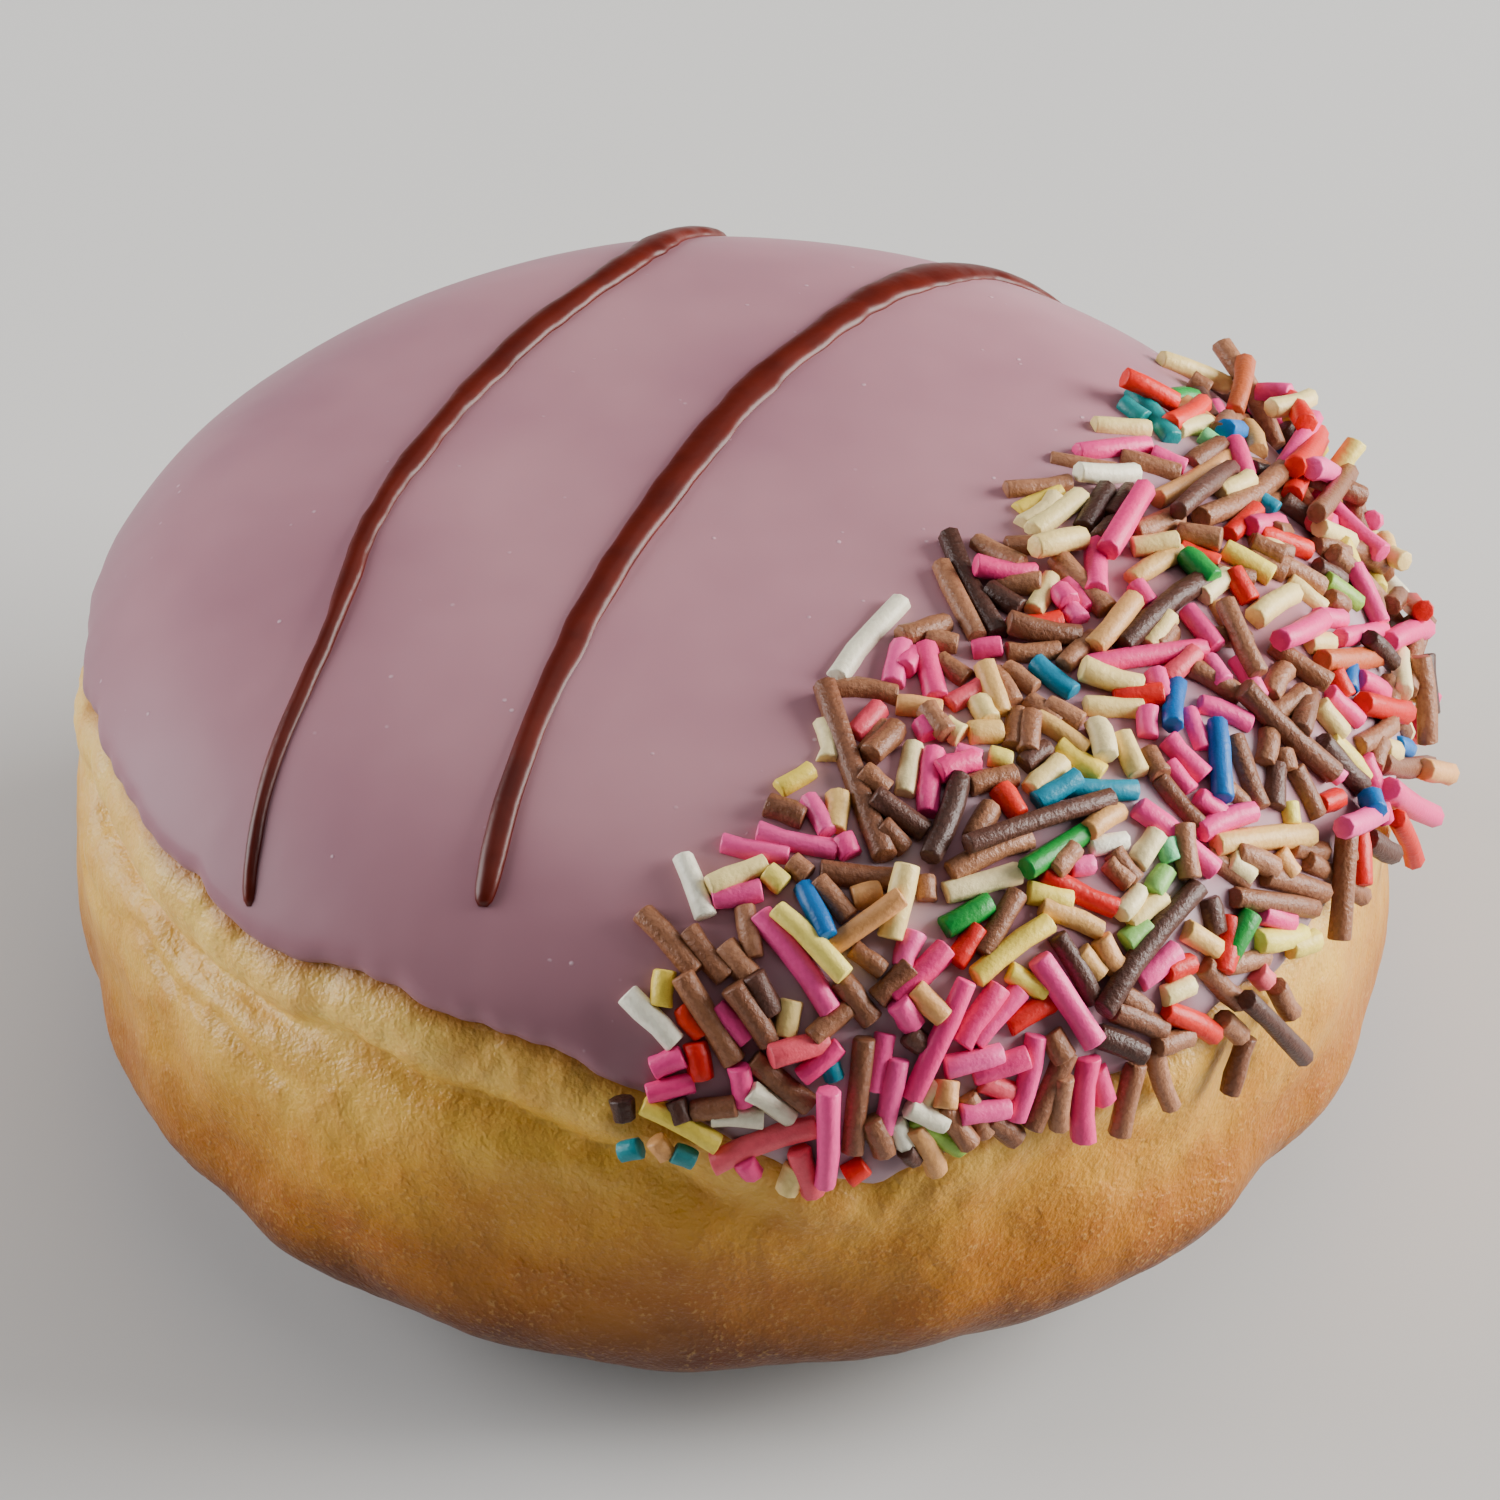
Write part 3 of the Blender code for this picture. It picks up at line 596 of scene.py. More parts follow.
def makeLine(name, places, material):
    top = icing["gap"] + icing["thickness"]
    start, end = lines["widths"][name]
    pitch, finer = lines["unevenPitches"]
    shape = bmesh.new()
    bmesh.ops.create_cone(
        shape,
        cap_ends=True,
        segments=lines["sides"],
        radius1=1,
        radius2=1,
        depth=2,
        matrix=Matrix.Rotation(math.pi / 2, 4, "Y"),
    )
    sides = [edge for edge in shape.edges if abs(edge.verts[0].co.x - edge.verts[1].co.x) > 1]
    bmesh.ops.subdivide_edges(shape, edges=sides, cuts=lines["steps"] - 1)
    for vert in shape.verts:
        share = (vert.co.x + 1) / 2
        direction = lineDirection(places, share)
        onward = lineDirection(places, min(share + 0.01, 1)) - lineDirection(places, max(share - 0.01, 0))
        upward = evenNormal(direction)
        sideways = upward.cross(onward).normalized()
        tip = math.sqrt(max(0.0, 1 - (1 - min(1.0, min(share, 1 - share) / lines["taperShare"])) ** 2))
        taper = lines["tip"] + (1 - lines["tip"]) * tip
        along = Vector((share * pitch, places[0][0], math.copysign(0.4, vert.co.y)))
        uneven = 1 + lines["unevenness"] * (noise.noise(along) + 0.5 * noise.noise(along * finer))
        halfWidth = (start + (end - start) * share) / 2 * taper * uneven
        height = lines["root"]
        if vert.co.z > 0:
            height = lines["height"] * taper * (1 - lines["flattening"] * share)
        middle = skinPoint(direction, top)
        vert.co = middle + sideways * (vert.co.y * halfWidth) + upward * (vert.co.z * height)
    finishPiece(name, shape, material, "icing")


chocolate = chocolateMaterial()
for lineName, linePlaces in lines["places"].items():
    makeLine(lineName, linePlaces, chocolate)
print("the chocolate lines are piped")


# The sprinkles: sugar rods beyond a straight line across the icing, the largest ones where the solid has them

sprinkles = {
    "side": sprinkleSide,
    "spread": 76 * degree,  # to either side of the side's middle
    "mostDrop": 75 * degree,
    "line": 15.6 * mm,  # how far from the middle the sprinkled side starts
    "lineWave": 0.9 * mm,
    "lineWavePitch": 150,
    "largeCount": 200,
    "smallCount": 600,
    "radius": (0.62 * mm, 0.76 * mm),
    "largeLengths": (4.2 * mm, 8 * mm),
    "smallLengths": (2.2 * mm, 4.6 * mm),
    "shortest": 1.5 * mm,
    "bentShare": 0.1,
    "bend": 0.16,
    "seed": 11,
    "candidates": 8,  # places tried for each random one
    "rimHold": 1.1 * mm,  # one at the rim reaches at least this far onto the icing
    "mostOverhang": 3.2 * mm,  # and at most this far below its edge
    "sunk": 0.45 * mm,  # into the soft icing
    "touchShare": 0.78,  # of two radii, where one is lifted by another
    "smallTouchShare": 0.4,
    "fillInset": 2.2 * mm,  # the short random ones stay this far behind the line
    "fillSink": 0.25 * mm,  # and are this much deeper in the icing
    "fillReach": 7 * mm,
    "mostFillLift": 0.6 * mm,
    "hiddenSlope": 0.12,  # cosine to the line of sight below which the camera misses one
    "mostTilt": 0.6,  # rise along one's length
    "mostLift": 2.8 * mm,
    "settlePasses": 5,
    "sides": 8,
    "plumpness": 1.12,  # against those of the solid
    "rounding": 0.13 * mm,
    "bow": 0.035,
    "unevenness": 0.10,
    "colourSeed": 5,
    "dustColour": (170, 136, 116),
    "dustShare": 0.5,
}
# Each kind: its share of the random ones, material slot, the colours of its range and how rough its skin is
kinds = {
    "brown": (0.40, "sprinkle_brown", ((168, 116, 84), (148, 98, 68), (124, 78, 54)), 0.8),
    "dark": (0.08, "sprinkle_brown", ((96, 60, 48), (80, 48, 38), (64, 38, 30)), 0.8),
    "tan": (0.07, "sprinkle_cream", ((232, 170, 104), (206, 146, 90), (236, 192, 112)), 0.4),
    "cream": (0.09, "sprinkle_cream", ((244, 222, 150), (240, 210, 132), (244, 226, 170)), 0.3),
    "white": (0.03, "sprinkle_cream", ((244, 240, 220), (240, 236, 208), (236, 230, 204)), 0.3),
    "yellow": (0.03, "sprinkle_yellow", ((242, 224, 96), (238, 208, 76), (242, 222, 110)), 0.3),
    "orange": (0.01, "sprinkle_red", ((200, 100, 56), (184, 90, 50), (210, 108, 60)), 0.4),
    "red": (0.04, "sprinkle_red", ((230, 30, 14), (206, 18, 14), (236, 50, 24)), 0.3),
    "rose": (0.02, "sprinkle_pink", ((232, 80, 98), (222, 68, 90), (236, 92, 108)), 0.3),
    "pink": (0.19, "sprinkle_pink", ((246, 84, 156), (242, 62, 140), (234, 50, 124)), 0.25),
    "green": (0.01, "sprinkle_green", ((8, 140, 54), (12, 134, 46), (30, 158, 62)), 0.25),
    "mint": (0.01, "sprinkle_green", ((120, 216, 140), (140, 180, 64), (120, 220, 156)), 0.25),
    "blue": (0.01, "sprinkle_blue", ((5, 104, 176), (5, 94, 166), (8, 112, 186)), 0.2),
    "teal": (0.01, "sprinkle_blue", ((5, 130, 164), (10, 136, 136), (52, 126, 136)), 0.25),
}
# Where the two ends of each sprinkle in sight show in the camera's square picture, 1500 steps wide: its kind,
# then steps across and down for one end and for the other. Later ones lie on earlier ones.
seenLarge = (
    ("dark", 948, 536, 1000, 636), ("white", 836, 678, 901, 602), ("brown", 824, 690, 884, 862),
    ("brown", 641, 912, 696, 973), ("brown", 687, 930, 726, 979), ("white", 626, 994, 676, 1044),
    ("brown", 940, 565, 978, 638), ("brown", 681, 975, 735, 1063), ("pink", 758, 914, 831, 1013),
    ("brown", 732, 986, 770, 1044), ("white", 682, 856, 706, 918), ("cream", 708, 887, 766, 864),
    ("pink", 757, 832, 838, 850), ("brown", 820, 871, 901, 881), ("dark", 874, 796, 926, 832),
    ("cream", 904, 796, 914, 746), ("pink", 925, 648, 937, 700), ("brown", 869, 759, 897, 727),
    ("pink", 975, 567, 1035, 576), ("brown", 1008, 625, 1080, 637), ("brown", 1006, 652, 1060, 650),
    ("brown", 1005, 491, 1071, 484), ("cream", 1032, 533, 1081, 497), ("white", 1077, 478, 1137, 474),
    ("pink", 1076, 454, 1149, 447), ("cream", 1093, 426, 1149, 431), ("cream", 1160, 360, 1228, 386),
    ("teal", 1133, 392, 1172, 441), ("red", 1122, 383, 1175, 406), ("brown", 1056, 558, 1108, 612),
    ("dark", 1083, 529, 1107, 489), ("dark", 930, 858, 960, 778), ("pink", 928, 816, 934, 752),
    ("brown", 950, 874, 1030, 838), ("cream", 946, 892, 1019, 872), ("brown", 981, 955, 1018, 893),
    ("pink", 893, 1000, 947, 948), ("cream", 908, 864, 891, 938), ("brown", 840, 980, 873, 1022),
    ("brown", 752, 1058, 811, 1106), ("brown", 864, 1036, 852, 1152), ("white", 711, 1117, 764, 1118),
    ("yellow", 642, 1104, 719, 1144), ("pink", 646, 1096, 694, 1082), ("rose", 712, 1163, 818, 1124),
    ("pink", 828, 1088, 824, 1184), ("rose", 770, 1057, 828, 1041), ("pink", 899, 1058, 882, 1132),
    ("pink", 1000, 986, 960, 1044), ("pink", 944, 1068, 1002, 1055), ("mint", 914, 1116, 963, 1149),
    ("brown", 942, 1106, 972, 1146), ("brown", 1066, 1050, 1030, 1128), ("pink", 1035, 1034, 1014, 1120),
    ("pink", 1088, 1056, 1082, 1140), ("brown", 1136, 1062, 1118, 1135), ("brown", 1154, 1048, 1170, 1106),
    ("brown", 1112, 1010, 1163, 1031), ("dark", 1098, 1035, 1146, 1056), ("dark", 1055, 935, 1093, 1003),
    ("tan", 1035, 718, 1087, 752), ("cream", 1084, 706, 1142, 709), ("cream", 1095, 724, 1105, 760),
    ("cream", 1119, 735, 1138, 776), ("tan", 1040, 906, 1101, 931), ("cream", 1128, 924, 1164, 898),
    ("teal", 1064, 788, 1137, 791), ("brown", 1158, 778, 1199, 827), ("pink", 1166, 739, 1204, 778),
    ("pink", 1198, 704, 1250, 725), ("brown", 1190, 668, 1240, 698), ("brown", 1232, 737, 1258, 810),
    ("brown", 1292, 768, 1316, 818), ("brown", 1262, 875, 1322, 893), ("brown", 1230, 898, 1312, 908),
    ("brown", 1202, 964, 1240, 1003), ("dark", 1238, 995, 1299, 1055), ("red", 1162, 1010, 1214, 1034),
    ("brown", 1247, 1036, 1230, 1094), ("brown", 1303, 860, 1360, 897), ("dark", 1318, 742, 1360, 789),
    ("brown", 1345, 828, 1340, 940), ("pink", 1361, 757, 1383, 822), ("pink", 1378, 789, 1424, 816),
    ("red", 1393, 818, 1411, 860), ("brown", 1377, 764, 1424, 767), ("pink", 1417, 742, 1431, 692),
    ("brown", 1390, 680, 1412, 722), ("cream", 1393, 656, 1415, 690), ("cream", 1317, 705, 1342, 736),
    ("pink", 1326, 694, 1358, 722), ("brown", 1270, 645, 1327, 686), ("pink", 1276, 644, 1320, 622),
    ("pink", 1257, 628, 1272, 682), ("brown", 1196, 637, 1250, 642), ("brown", 1222, 604, 1266, 662),
    ("pink", 1337, 640, 1378, 632), ("orange", 1318, 663, 1378, 656), ("brown", 1325, 556, 1388, 628),
    ("brown", 1353, 494, 1362, 538), ("brown", 1357, 535, 1382, 565), ("brown", 1272, 562, 1322, 590),
    ("cream", 1254, 620, 1292, 594), ("red", 1257, 535, 1308, 552), ("yellow", 1223, 549, 1271, 578),
    ("dark", 1281, 502, 1331, 543), ("brown", 1288, 473, 1310, 512), ("pink", 1284, 470, 1313, 418),
    ("yellow", 1330, 488, 1357, 442), ("brown", 1200, 519, 1284, 468), ("tan", 1155, 504, 1236, 454),
    ("tan", 1130, 581, 1180, 553), ("brown", 1177, 533, 1221, 541), ("brown", 1133, 534, 1178, 517),
    ("cream", 1131, 550, 1178, 542), ("pink", 1107, 552, 1144, 495), ("cream", 1033, 556, 1084, 535),
    ("tan", 1096, 637, 1135, 597), ("dark", 1176, 516, 1230, 473), ("red", 1228, 537, 1260, 503),
    ("pink", 1092, 652, 1205, 650), ("cream", 1084, 660, 1141, 686), ("teal", 1034, 662, 1074, 694),
    ("dark", 1124, 637, 1210, 578), ("brown", 1220, 343, 1277, 447), ("tan", 1212, 845, 1326, 829),
    ("pink", 1136, 807, 1221, 867), ("blue", 1219, 719, 1217, 805), ("blue", 1177, 684, 1170, 730),
    ("brown", 1240, 690, 1331, 778), ("dark", 964, 850, 1113, 797), ("red", 1041, 874, 1115, 909),
    ("green", 1025, 871, 1088, 831), ("dark", 1100, 1012, 1195, 886), ("green", 1224, 962, 1252, 913),
    ("yellow", 975, 978, 1050, 921), ("pink", 1036, 958, 1095, 1044), ("pink", 966, 980, 911, 1100),
    ("tan", 832, 945, 903, 895), ("yellow", 776, 908, 845, 976), ("green", 943, 929, 990, 902),
    ("blue", 802, 886, 828, 938),
)
seenSmall = (
    ("brown", 1193, 374, 1208, 392), ("tan", 1188, 391, 1230, 396), ("teal", 1122, 403, 1146, 420),
    ("cream", 1176, 430, 1209, 422), ("red", 1172, 416, 1202, 406), ("brown", 1218, 432, 1232, 412),
    ("tan", 1247, 427, 1258, 452), ("pink", 1232, 444, 1250, 472), ("mint", 1203, 438, 1216, 446),
    ("pink", 1258, 394, 1291, 394), ("blue", 1238, 404, 1246, 417), ("cream", 1271, 408, 1292, 420),
    ("dark", 1278, 424, 1288, 440), ("red", 1319, 440, 1320, 466), ("red", 1300, 462, 1312, 440),
    ("pink", 1300, 481, 1327, 486), ("rose", 1316, 520, 1341, 497), ("cream", 1325, 522, 1354, 537),
    ("brown", 1312, 517, 1338, 482), ("teal", 1262, 501, 1278, 502), ("cream", 1218, 494, 1250, 480),
    ("pink", 1152, 450, 1185, 469), ("dark", 1109, 517, 1131, 490), ("pink", 1097, 537, 1100, 576),
    ("pink", 1135, 580, 1150, 606), ("cream", 1201, 597, 1228, 577), ("red", 1230, 573, 1250, 602),
    ("brown", 1250, 546, 1281, 561), ("cream", 1264, 549, 1278, 553), ("dark", 1338, 545, 1360, 565),
    ("cream", 1390, 554, 1405, 562), ("yellow", 1372, 580, 1378, 590), ("brown", 1328, 598, 1345, 606),
    ("pink", 1188, 604, 1225, 632), ("pink", 1212, 652, 1224, 684), ("brown", 1270, 697, 1292, 662),
    ("cream", 1307, 644, 1337, 638), ("pink", 1388, 642, 1414, 632), ("dark", 1380, 632, 1395, 662),
    ("brown", 1063, 667, 1095, 637), ("cream", 1032, 612, 1052, 578), ("pink", 1072, 610, 1077, 617),
    ("pink", 1058, 592, 1070, 603), ("green", 1184, 554, 1214, 580), ("pink", 1155, 672, 1165, 702),
    ("pink", 1147, 708, 1148, 738), ("cream", 1031, 793, 1062, 762), ("teal", 1036, 803, 1078, 778),
    ("pink", 1167, 763, 1190, 793), ("pink", 1196, 797, 1224, 819), ("brown", 1145, 752, 1161, 776),
    ("brown", 1268, 732, 1264, 765), ("brown", 1281, 752, 1290, 768), ("dark", 1276, 765, 1274, 808),
    ("yellow", 1288, 804, 1291, 823), ("pink", 1204, 830, 1252, 812), ("tan", 1276, 853, 1291, 876),
    ("cream", 1228, 858, 1250, 876), ("red", 1320, 804, 1339, 797), ("pink", 1333, 829, 1367, 813),
    ("blue", 1358, 797, 1370, 812), ("dark", 1367, 838, 1392, 854), ("tan", 1425, 769, 1449, 774),
    ("brown", 1361, 745, 1394, 724), ("cream", 1382, 748, 1395, 752), ("red", 1364, 702, 1403, 714),
    ("pink", 1358, 679, 1382, 694), ("brown", 1296, 735, 1309, 695), ("red", 1333, 672, 1346, 698),
    ("mint", 1167, 838, 1173, 862), ("mint", 1152, 894, 1170, 868), ("tan", 1088, 832, 1120, 810),
    ("white", 1089, 847, 1126, 841), ("pink", 1070, 867, 1093, 864), ("brown", 1106, 862, 1130, 884),
    ("cream", 1119, 914, 1140, 890), ("mint", 1124, 944, 1148, 926), ("tan", 1100, 938, 1119, 970),
    ("tan", 1079, 951, 1100, 976), ("yellow", 1008, 971, 1046, 992), ("tan", 1184, 930, 1216, 950),
    ("red", 1165, 972, 1198, 964), ("cream", 1162, 996, 1191, 984), ("pink", 1260, 912, 1290, 924),
    ("yellow", 1256, 942, 1301, 935), ("rose", 1257, 970, 1266, 980), ("brown", 1276, 985, 1291, 1013),
    ("brown", 1222, 1018, 1246, 1038), ("brown", 1157, 1048, 1189, 1035), ("brown", 744, 906, 754, 958),
    ("brown", 723, 945, 750, 977), ("dark", 752, 974, 774, 1014), ("brown", 852, 948, 884, 972),
    ("pink", 915, 932, 902, 968), ("brown", 876, 1000, 911, 966), ("red", 953, 963, 978, 927),
    ("yellow", 666, 970, 661, 1007), ("pink", 716, 1006, 748, 1041), ("cream", 793, 1000, 785, 1037),
    ("brown", 812, 1040, 848, 1008), ("teal", 826, 1056, 835, 1080), ("pink", 653, 1070, 684, 1056),
    ("red", 695, 1042, 702, 1080), ("pink", 738, 1066, 744, 1104), ("dark", 621, 1100, 624, 1118),
    ("dark", 676, 1104, 681, 1120), ("tan", 658, 1144, 664, 1152), ("teal", 620, 1153, 641, 1148),
    ("teal", 674, 1154, 694, 1161), ("pink", 896, 1002, 915, 1026), ("tan", 914, 988, 946, 1018),
    ("dark", 910, 1034, 922, 1044), ("brown", 1052, 1035, 1068, 1060), ("brown", 1062, 1075, 1058, 1128),
    ("brown", 966, 1094, 986, 1134), ("tan", 948, 1080, 945, 1109), ("white", 894, 1120, 908, 1146),
    ("dark", 906, 1150, 915, 1158), ("brown", 872, 1120, 886, 1155), ("red", 846, 1176, 866, 1164),
    ("cream", 797, 1165, 786, 1192), ("pink", 745, 1163, 751, 1171), ("cream", 922, 1103, 942, 1086),
    ("dark", 987, 590, 1022, 610), ("pink", 972, 651, 1002, 648), ("brown", 925, 640, 958, 645),
    ("pink", 902, 645, 893, 686), ("rose", 948, 706, 986, 682), ("tan", 896, 706, 942, 712),
    ("pink", 922, 724, 930, 736), ("brown", 1004, 668, 1036, 690), ("cream", 978, 700, 990, 722),
    ("tan", 968, 734, 1002, 732), ("cream", 946, 728, 960, 731), ("brown", 1020, 712, 1012, 748),
    ("brown", 1046, 704, 1081, 725), ("yellow", 988, 757, 1012, 762), ("dark", 1022, 766, 1049, 748),
    ("pink", 955, 752, 981, 760), ("brown", 968, 786, 1016, 776), ("red", 998, 788, 1020, 816),
    ("brown", 972, 840, 990, 806), ("rose", 852, 736, 880, 708), ("brown", 861, 772, 887, 792),
    ("brown", 880, 826, 906, 850), ("tan", 838, 794, 834, 832), ("pink", 808, 798, 828, 832),
    ("yellow", 778, 790, 812, 770), ("brown", 766, 806, 804, 820), ("pink", 842, 838, 852, 856),
    ("yellow", 772, 874, 779, 882), ("brown", 795, 866, 804, 873), ("brown", 816, 880, 850, 918),
    ("tan", 852, 898, 881, 892), ("brown", 929, 866, 927, 900), ("pink", 712, 899, 762, 890),
)


def rodPoint(rod, share):
    lift = rod["lifts"][0] * (1 - share) + rod["lifts"][1] * share
    return rod["middle"] + rod["along"] * ((share - 0.5) * rod["length"]) + rod["upward"] * lift


def restingHeight(radius):
    return icing["gap"] + icing["thickness"] - sprinkles["sunk"] + radius


def heightAbove(point):  # above the skin, along its normal
    offset = point - bunMiddle
    direction = offset.normalized()
    skin = skinPoint(direction) - bunMiddle
    return (offset.length - skin.length) * evenNormal(direction).dot(direction)


def seenPoint(across, down, height):  # where a line of sight meets this height above the skin, or is closest
    eye = Vector(camera["place"])
    forward = (Vector(camera["aim"]) - eye).normalized()
    right = forward.cross(Vector((0, 0, 1))).normalized()
    sight = forward * (camera["lens"] / camera["sensor"] * pictureSteps)
    sight += right * (across - pictureSteps / 2) - right.cross(forward) * (down - pictureSteps / 2)
    sight.normalize()
    for high in sightSteps:
        if heightAbove(eye + sight * high) < height:
            break
    else:
        return eye + sight * min(sightSteps, key=lambda step: heightAbove(eye + sight * step))
    low = high - sightStep
    for _ in range(12):
        middle = (low + high) / 2
        if heightAbove(eye + sight * middle) < height:
            high = middle
        else:
            low = middle
    return eye + sight * high


def laySeenRod(place, touchShare, draw, laid):
    kind, startAcross, startDown, endAcross, endDown = place
    radius = draw.uniform(*sprinkles["radius"])
    rest = restingHeight(radius)
    lifts = [0.0, 0.0]
    for _ in range(2):
        start = seenPoint(startAcross, startDown, rest + lifts[0])
        end = seenPoint(endAcross, endDown, rest + lifts[1])
        upward = evenNormal(((start + end) / 2 - bunMiddle).normalized())
        start -= upward * lifts[0]
        end -= upward * lifts[1]
        middle = (start + end) / 2
        dip = max(0.0, rest - heightAbove(middle))  # a straight rod rests on the round skin with its middle
        rod = {
            "middle": middle + upward * dip,
            "upward": upward,
            "along": (end - start).normalized(),
            "length": max((end - start).length, sprinkles["shortest"]),
            "radius": radius,
            "bend": 0,
            "lifts": [0.0, 0.0],
            "kind": kind,
        }
        settle(rod, touchShare, laid)
        lifts = list(rod["lifts"])
    laid.append(rod)


def layRod(azimuth, drop, turn, length, radius, bend):
    direction = turned(azimuth, drop)
    upward = evenNormal(direction)
    level = Vector((-math.sin(azimuth), math.cos(azimuth), 0))
    return {
        "middle": skinPoint(direction, restingHeight(radius)),
        "upward": upward,
        "along": level * math.cos(turn) + upward.cross(level) * math.sin(turn),
        "length": length,
        "radius": radius,
        "bend": bend,
        "lifts": [0.0, 0.0],
        "kind": None,
    }


def isOutOfSight(rod):
    sight = (Vector(camera["place"]) - rod["middle"]).normalized()
    return rod["upward"].dot(sight) < sprinkles["hiddenSlope"]


def isSprinkled(azimuth, drop, turn, length, inset):
    middle = skinPoint(turned(azimuth, drop))
    side = sprinkles["side"]
    inwards = middle.x * math.cos(side) + middle.y * math.sin(side)
    sideways = middle.y * math.cos(side) - middle.x * math.sin(side)
    wave = sprinkles["lineWave"] * noise.noise(Vector((sideways * sprinkles["lineWavePitch"], 0, 0)))
    aboveEdge = middle.z - edgeHeight(azimuth)
    upright = abs(math.sin(turn)) * length / 2
    isHeld = aboveEdge > 0 and aboveEdge + upright > sprinkles["rimHold"]
    isHeld = isHeld and aboveEdge - upright > -sprinkles["mostOverhang"]
    return isHeld and inwards > sprinkles["line"] + inset + wave


def roomForFill(rod, laid):  # from places along a short rod to the middle lines of the rods around it
    room = sprinkles["fillReach"]
    for other in laid:
        if (rod["middle"] - other["middle"]).length > sprinkles["fillReach"]:
            continue
        start = rodPoint(other, 0)
        run = rodPoint(other, 1) - start
        for share in (0.1, 0.5, 0.9):
            here = rodPoint(rod, share) - start
            along = max(0.0, min(1.0, here.dot(run) / run.length_squared))
            room = min(room, (here - run * along).length)
    return room


def drawRod(length, everywhere, draw, laid):  # of a few random places, the one farthest from the other rods
    bend = 0
    if draw.random() < sprinkles["bentShare"]:
        bend = sprinkles["bend"] * length * draw.choice((-1, 1))
    radius = draw.uniform(*sprinkles["radius"])
    best = None
    farthest = -1
    tried = 0
    while tried < sprinkles["candidates"]:
        azimuth = sprinkles["side"] + draw.uniform(-sprinkles["spread"], sprinkles["spread"])
        drop = math.acos(draw.uniform(math.cos(sprinkles["mostDrop"]), 1))
        turn = draw.uniform(0, math.pi)
        if not isSprinkled(azimuth, drop, turn, length, sprinkles["fillInset"] if everywhere else 0):
            continue
        rod = layRod(azimuth, drop, turn, length, radius, bend)
        if not isOutOfSight(rod):
            if not everywhere:
                continue
            rod["lifts"] = [-sprinkles["fillSink"]] * 2
        tried += 1
        if everywhere:
            nearest = roomForFill(rod, laid)
        else:
            nearest = min((rod["middle"] - other["middle"]).length for other in laid)
        if nearest > farthest:
            best = rod
            farthest = nearest
    return best


def liftClear(rod, share, other, touchShare):  # so that it only presses on a rod that it would pass through
    here = rodPoint(rod, share)
    start = rodPoint(other, 0) - here
    run = rodPoint(other, 1) - rodPoint(other, 0)
    upward = rod["upward"]
    flatStart = start - upward * start.dot(upward)
    flatRun = run - upward * run.dot(upward)
    along = max(0.0, min(1.0, -flatStart.dot(flatRun) / max(flatRun.length_squared, 1e-12)))
    offset = start + run * along
    rise = -offset.dot(upward)
    aside = (offset + upward * rise).length
    touch = touchShare * (rod["radius"] + other["radius"])
    if aside >= touch:
        return
    needed = math.sqrt(touch * touch - aside * aside) - rise
    if needed <= 0:
        return
    weight = (1 - share) ** 2 + share**2
    lifts = rod["lifts"]
    lifts[0] += needed * (1 - share) / weight
    lifts[1] += needed * share / weight
    most = sprinkles["mostTilt"] * rod["length"]
    lifts[0] = max(lifts[0], lifts[1] - most)
    lifts[1] = max(lifts[1], lifts[0] - most)


def settle(rod, touchShare, laid):
    near = []
    for other in laid:
        if (other["middle"] - rod["middle"]).length < (other["length"] + rod["length"]) / 2 + 2 * mm:
            near.append(other)
    steps = max(2, math.ceil(rod["length"] / mm))
    for _ in range(sprinkles["settlePasses"]):
        for step in range(steps + 1):
            for other in near:
                liftClear(rod, step / steps, other, touchShare)


def layRandomRods(count, lengths, everywhere, draw, laid):  # from the longest down
    shortest, longest = lengths
    for number in range(count):
        rod = drawRod(longest + (shortest - longest) * number / count, everywhere, draw, laid)
        settle(rod, sprinkles["touchShare"] if isOutOfSight(rod) else sprinkles["smallTouchShare"], laid)
        if max(rod["lifts"]) < (sprinkles["mostLift"] if isOutOfSight(rod) else sprinkles["mostFillLift"]):
            laid.append(rod)


def layRods():
    draw = random.Random(sprinkles["seed"])
    laid = []
    for place in seenLarge:
        laySeenRod(place, sprinkles["touchShare"], draw, laid)
    layRandomRods(sprinkles["largeCount"] - len(seenLarge), sprinkles["largeLengths"], False, draw, laid)
    for place in seenSmall:
        laySeenRod(place, sprinkles["smallTouchShare"], draw, laid)
    layRandomRods(sprinkles["smallCount"], sprinkles["smallLengths"], True, draw, laid)
    return laid


def colourRods(rods):  # a kind for each rod that has none yet, by the kinds' shares
    draw = random.Random(sprinkles["colourSeed"])
    names = list(kinds)
    shares = [kinds[name][0] for name in names]
    for rod in rods:
        kind = draw.choices(names, shares)[0]
        rod["kind"] = rod["kind"] or kind
        rod["tint"] = draw.random()


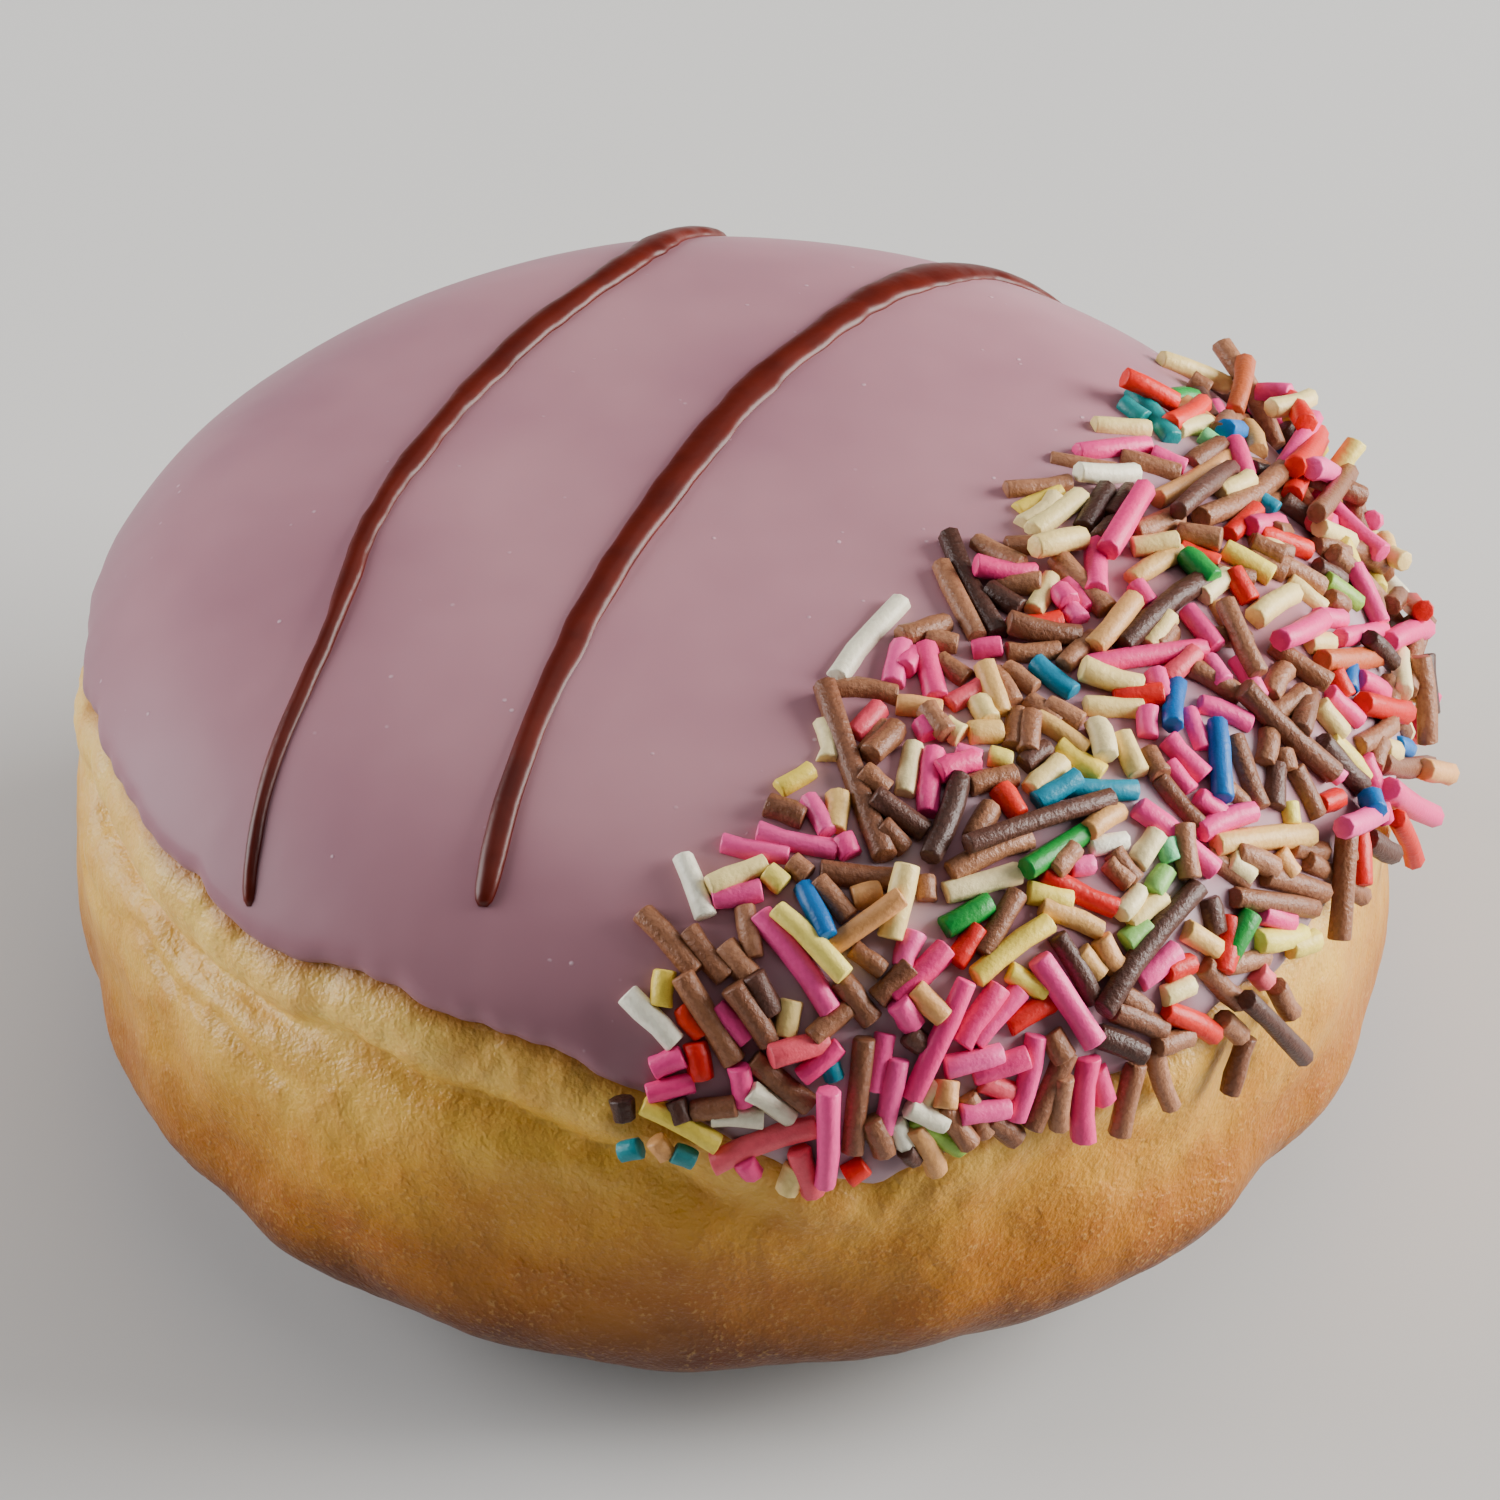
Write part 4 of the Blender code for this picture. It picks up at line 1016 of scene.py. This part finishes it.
def addRod(whole, rod, draw):
    run = rodPoint(rod, 1) - rodPoint(rod, 0)
    radius = rod["radius"] * sprinkles["plumpness"]
    along = run.normalized()
    side = along.cross(rod["upward"]).normalized()
    facing = Matrix((side.cross(along), side, along)).transposed().to_4x4()
    shape = bmesh.new()
    bmesh.ops.create_cone(
        shape, cap_ends=True, segments=sprinkles["sides"], radius1=radius, radius2=radius, depth=run.length
    )
    sides = [edge for edge in shape.edges if abs(edge.verts[0].co.z - edge.verts[1].co.z) > run.length * 0.9]
    rims = [edge for edge in shape.edges if edge not in sides]
    bmesh.ops.subdivide_edges(shape, edges=sides, cuts=2)
    bmesh.ops.bevel(
        shape, geom=rims, offset=sprinkles["rounding"], segments=2, profile=0.5, affect="EDGES", material=-1
    )
    bow = Vector((draw.uniform(-1, 1), draw.uniform(-1, 1), 0)) * sprinkles["bow"] * run.length
    seedPlace = Vector((draw.uniform(0, 99), 0, 0))
    for vert in shape.verts:
        far = vert.co.z / (run.length / 2)
        dent = 1 + sprinkles["unevenness"] * noise.noise(vert.co / mm * 0.9 + seedPlace) * 2
        vert.co.x *= dent
        vert.co.y = vert.co.y * dent + rod["bend"] * (1 - abs(far))
        vert.co += bow * (1 - far * far)
    bmesh.ops.transform(shape, verts=shape.verts, matrix=Matrix.Translation(rodPoint(rod, 0.5)) @ facing)
    tint = shape.verts.layers.float.new("tint")
    for vert in shape.verts:
        vert[tint] = rod["tint"]
    mesh = bpy.data.meshes.new("rod")
    shape.to_mesh(mesh)
    shape.free()
    whole.from_mesh(mesh)
    bpy.data.meshes.remove(mesh)


def sprinkleMaterial(kind):
    _, _, colours, coarseness = kinds[kind]
    material, tree, shader, coords = newMaterial(kind + "Sugar", Roughness=0.42, Specular_IOR_Level=0.35)
    tint = addNode(tree, "ShaderNodeAttribute", attribute_name="tint").outputs["Fac"]
    stops = [(index / 2, fromScreen(*colour)) for index, colour in enumerate(colours)]
    colour = addRamp(tree, tint, stops)
    grain = addNoise(tree, coords, 2600, 3, 0.6)
    dust = addMath(tree, "MULTIPLY", addRange(tree, grain, 0.4, 0.65), coarseness * sprinkles["dustShare"])
    colour = addMix(tree, dust, colour, fromScreen(*sprinkles["dustColour"]), "MULTIPLY")
    tree.links.new(colour, shader.inputs["Base Color"])
    tree.links.new(addBump(tree, grain, 0.2 + coarseness * 0.6, 0.2 * mm), shader.inputs["Normal"])
    return material


def makeSprinkles():
    rods = layRods()
    colourRods(rods)
    draw = random.Random(sprinkles["seed"] + 1)
    for kind in kinds:
        whole = bmesh.new()
        whole.verts.layers.float.new("tint")
        for rod in rods:
            if rod["kind"] == kind:
                addRod(whole, rod, draw)
        finishPiece(kind + "Sprinkles", whole, sprinkleMaterial(kind), "icing")
    highest = max(max(rod["lifts"]) for rod in rods)
    print("sprinkles:", len(rods), "highest lift in mm:", round(highest / mm, 2))


makeSprinkles()
print("the sprinkles are scattered")
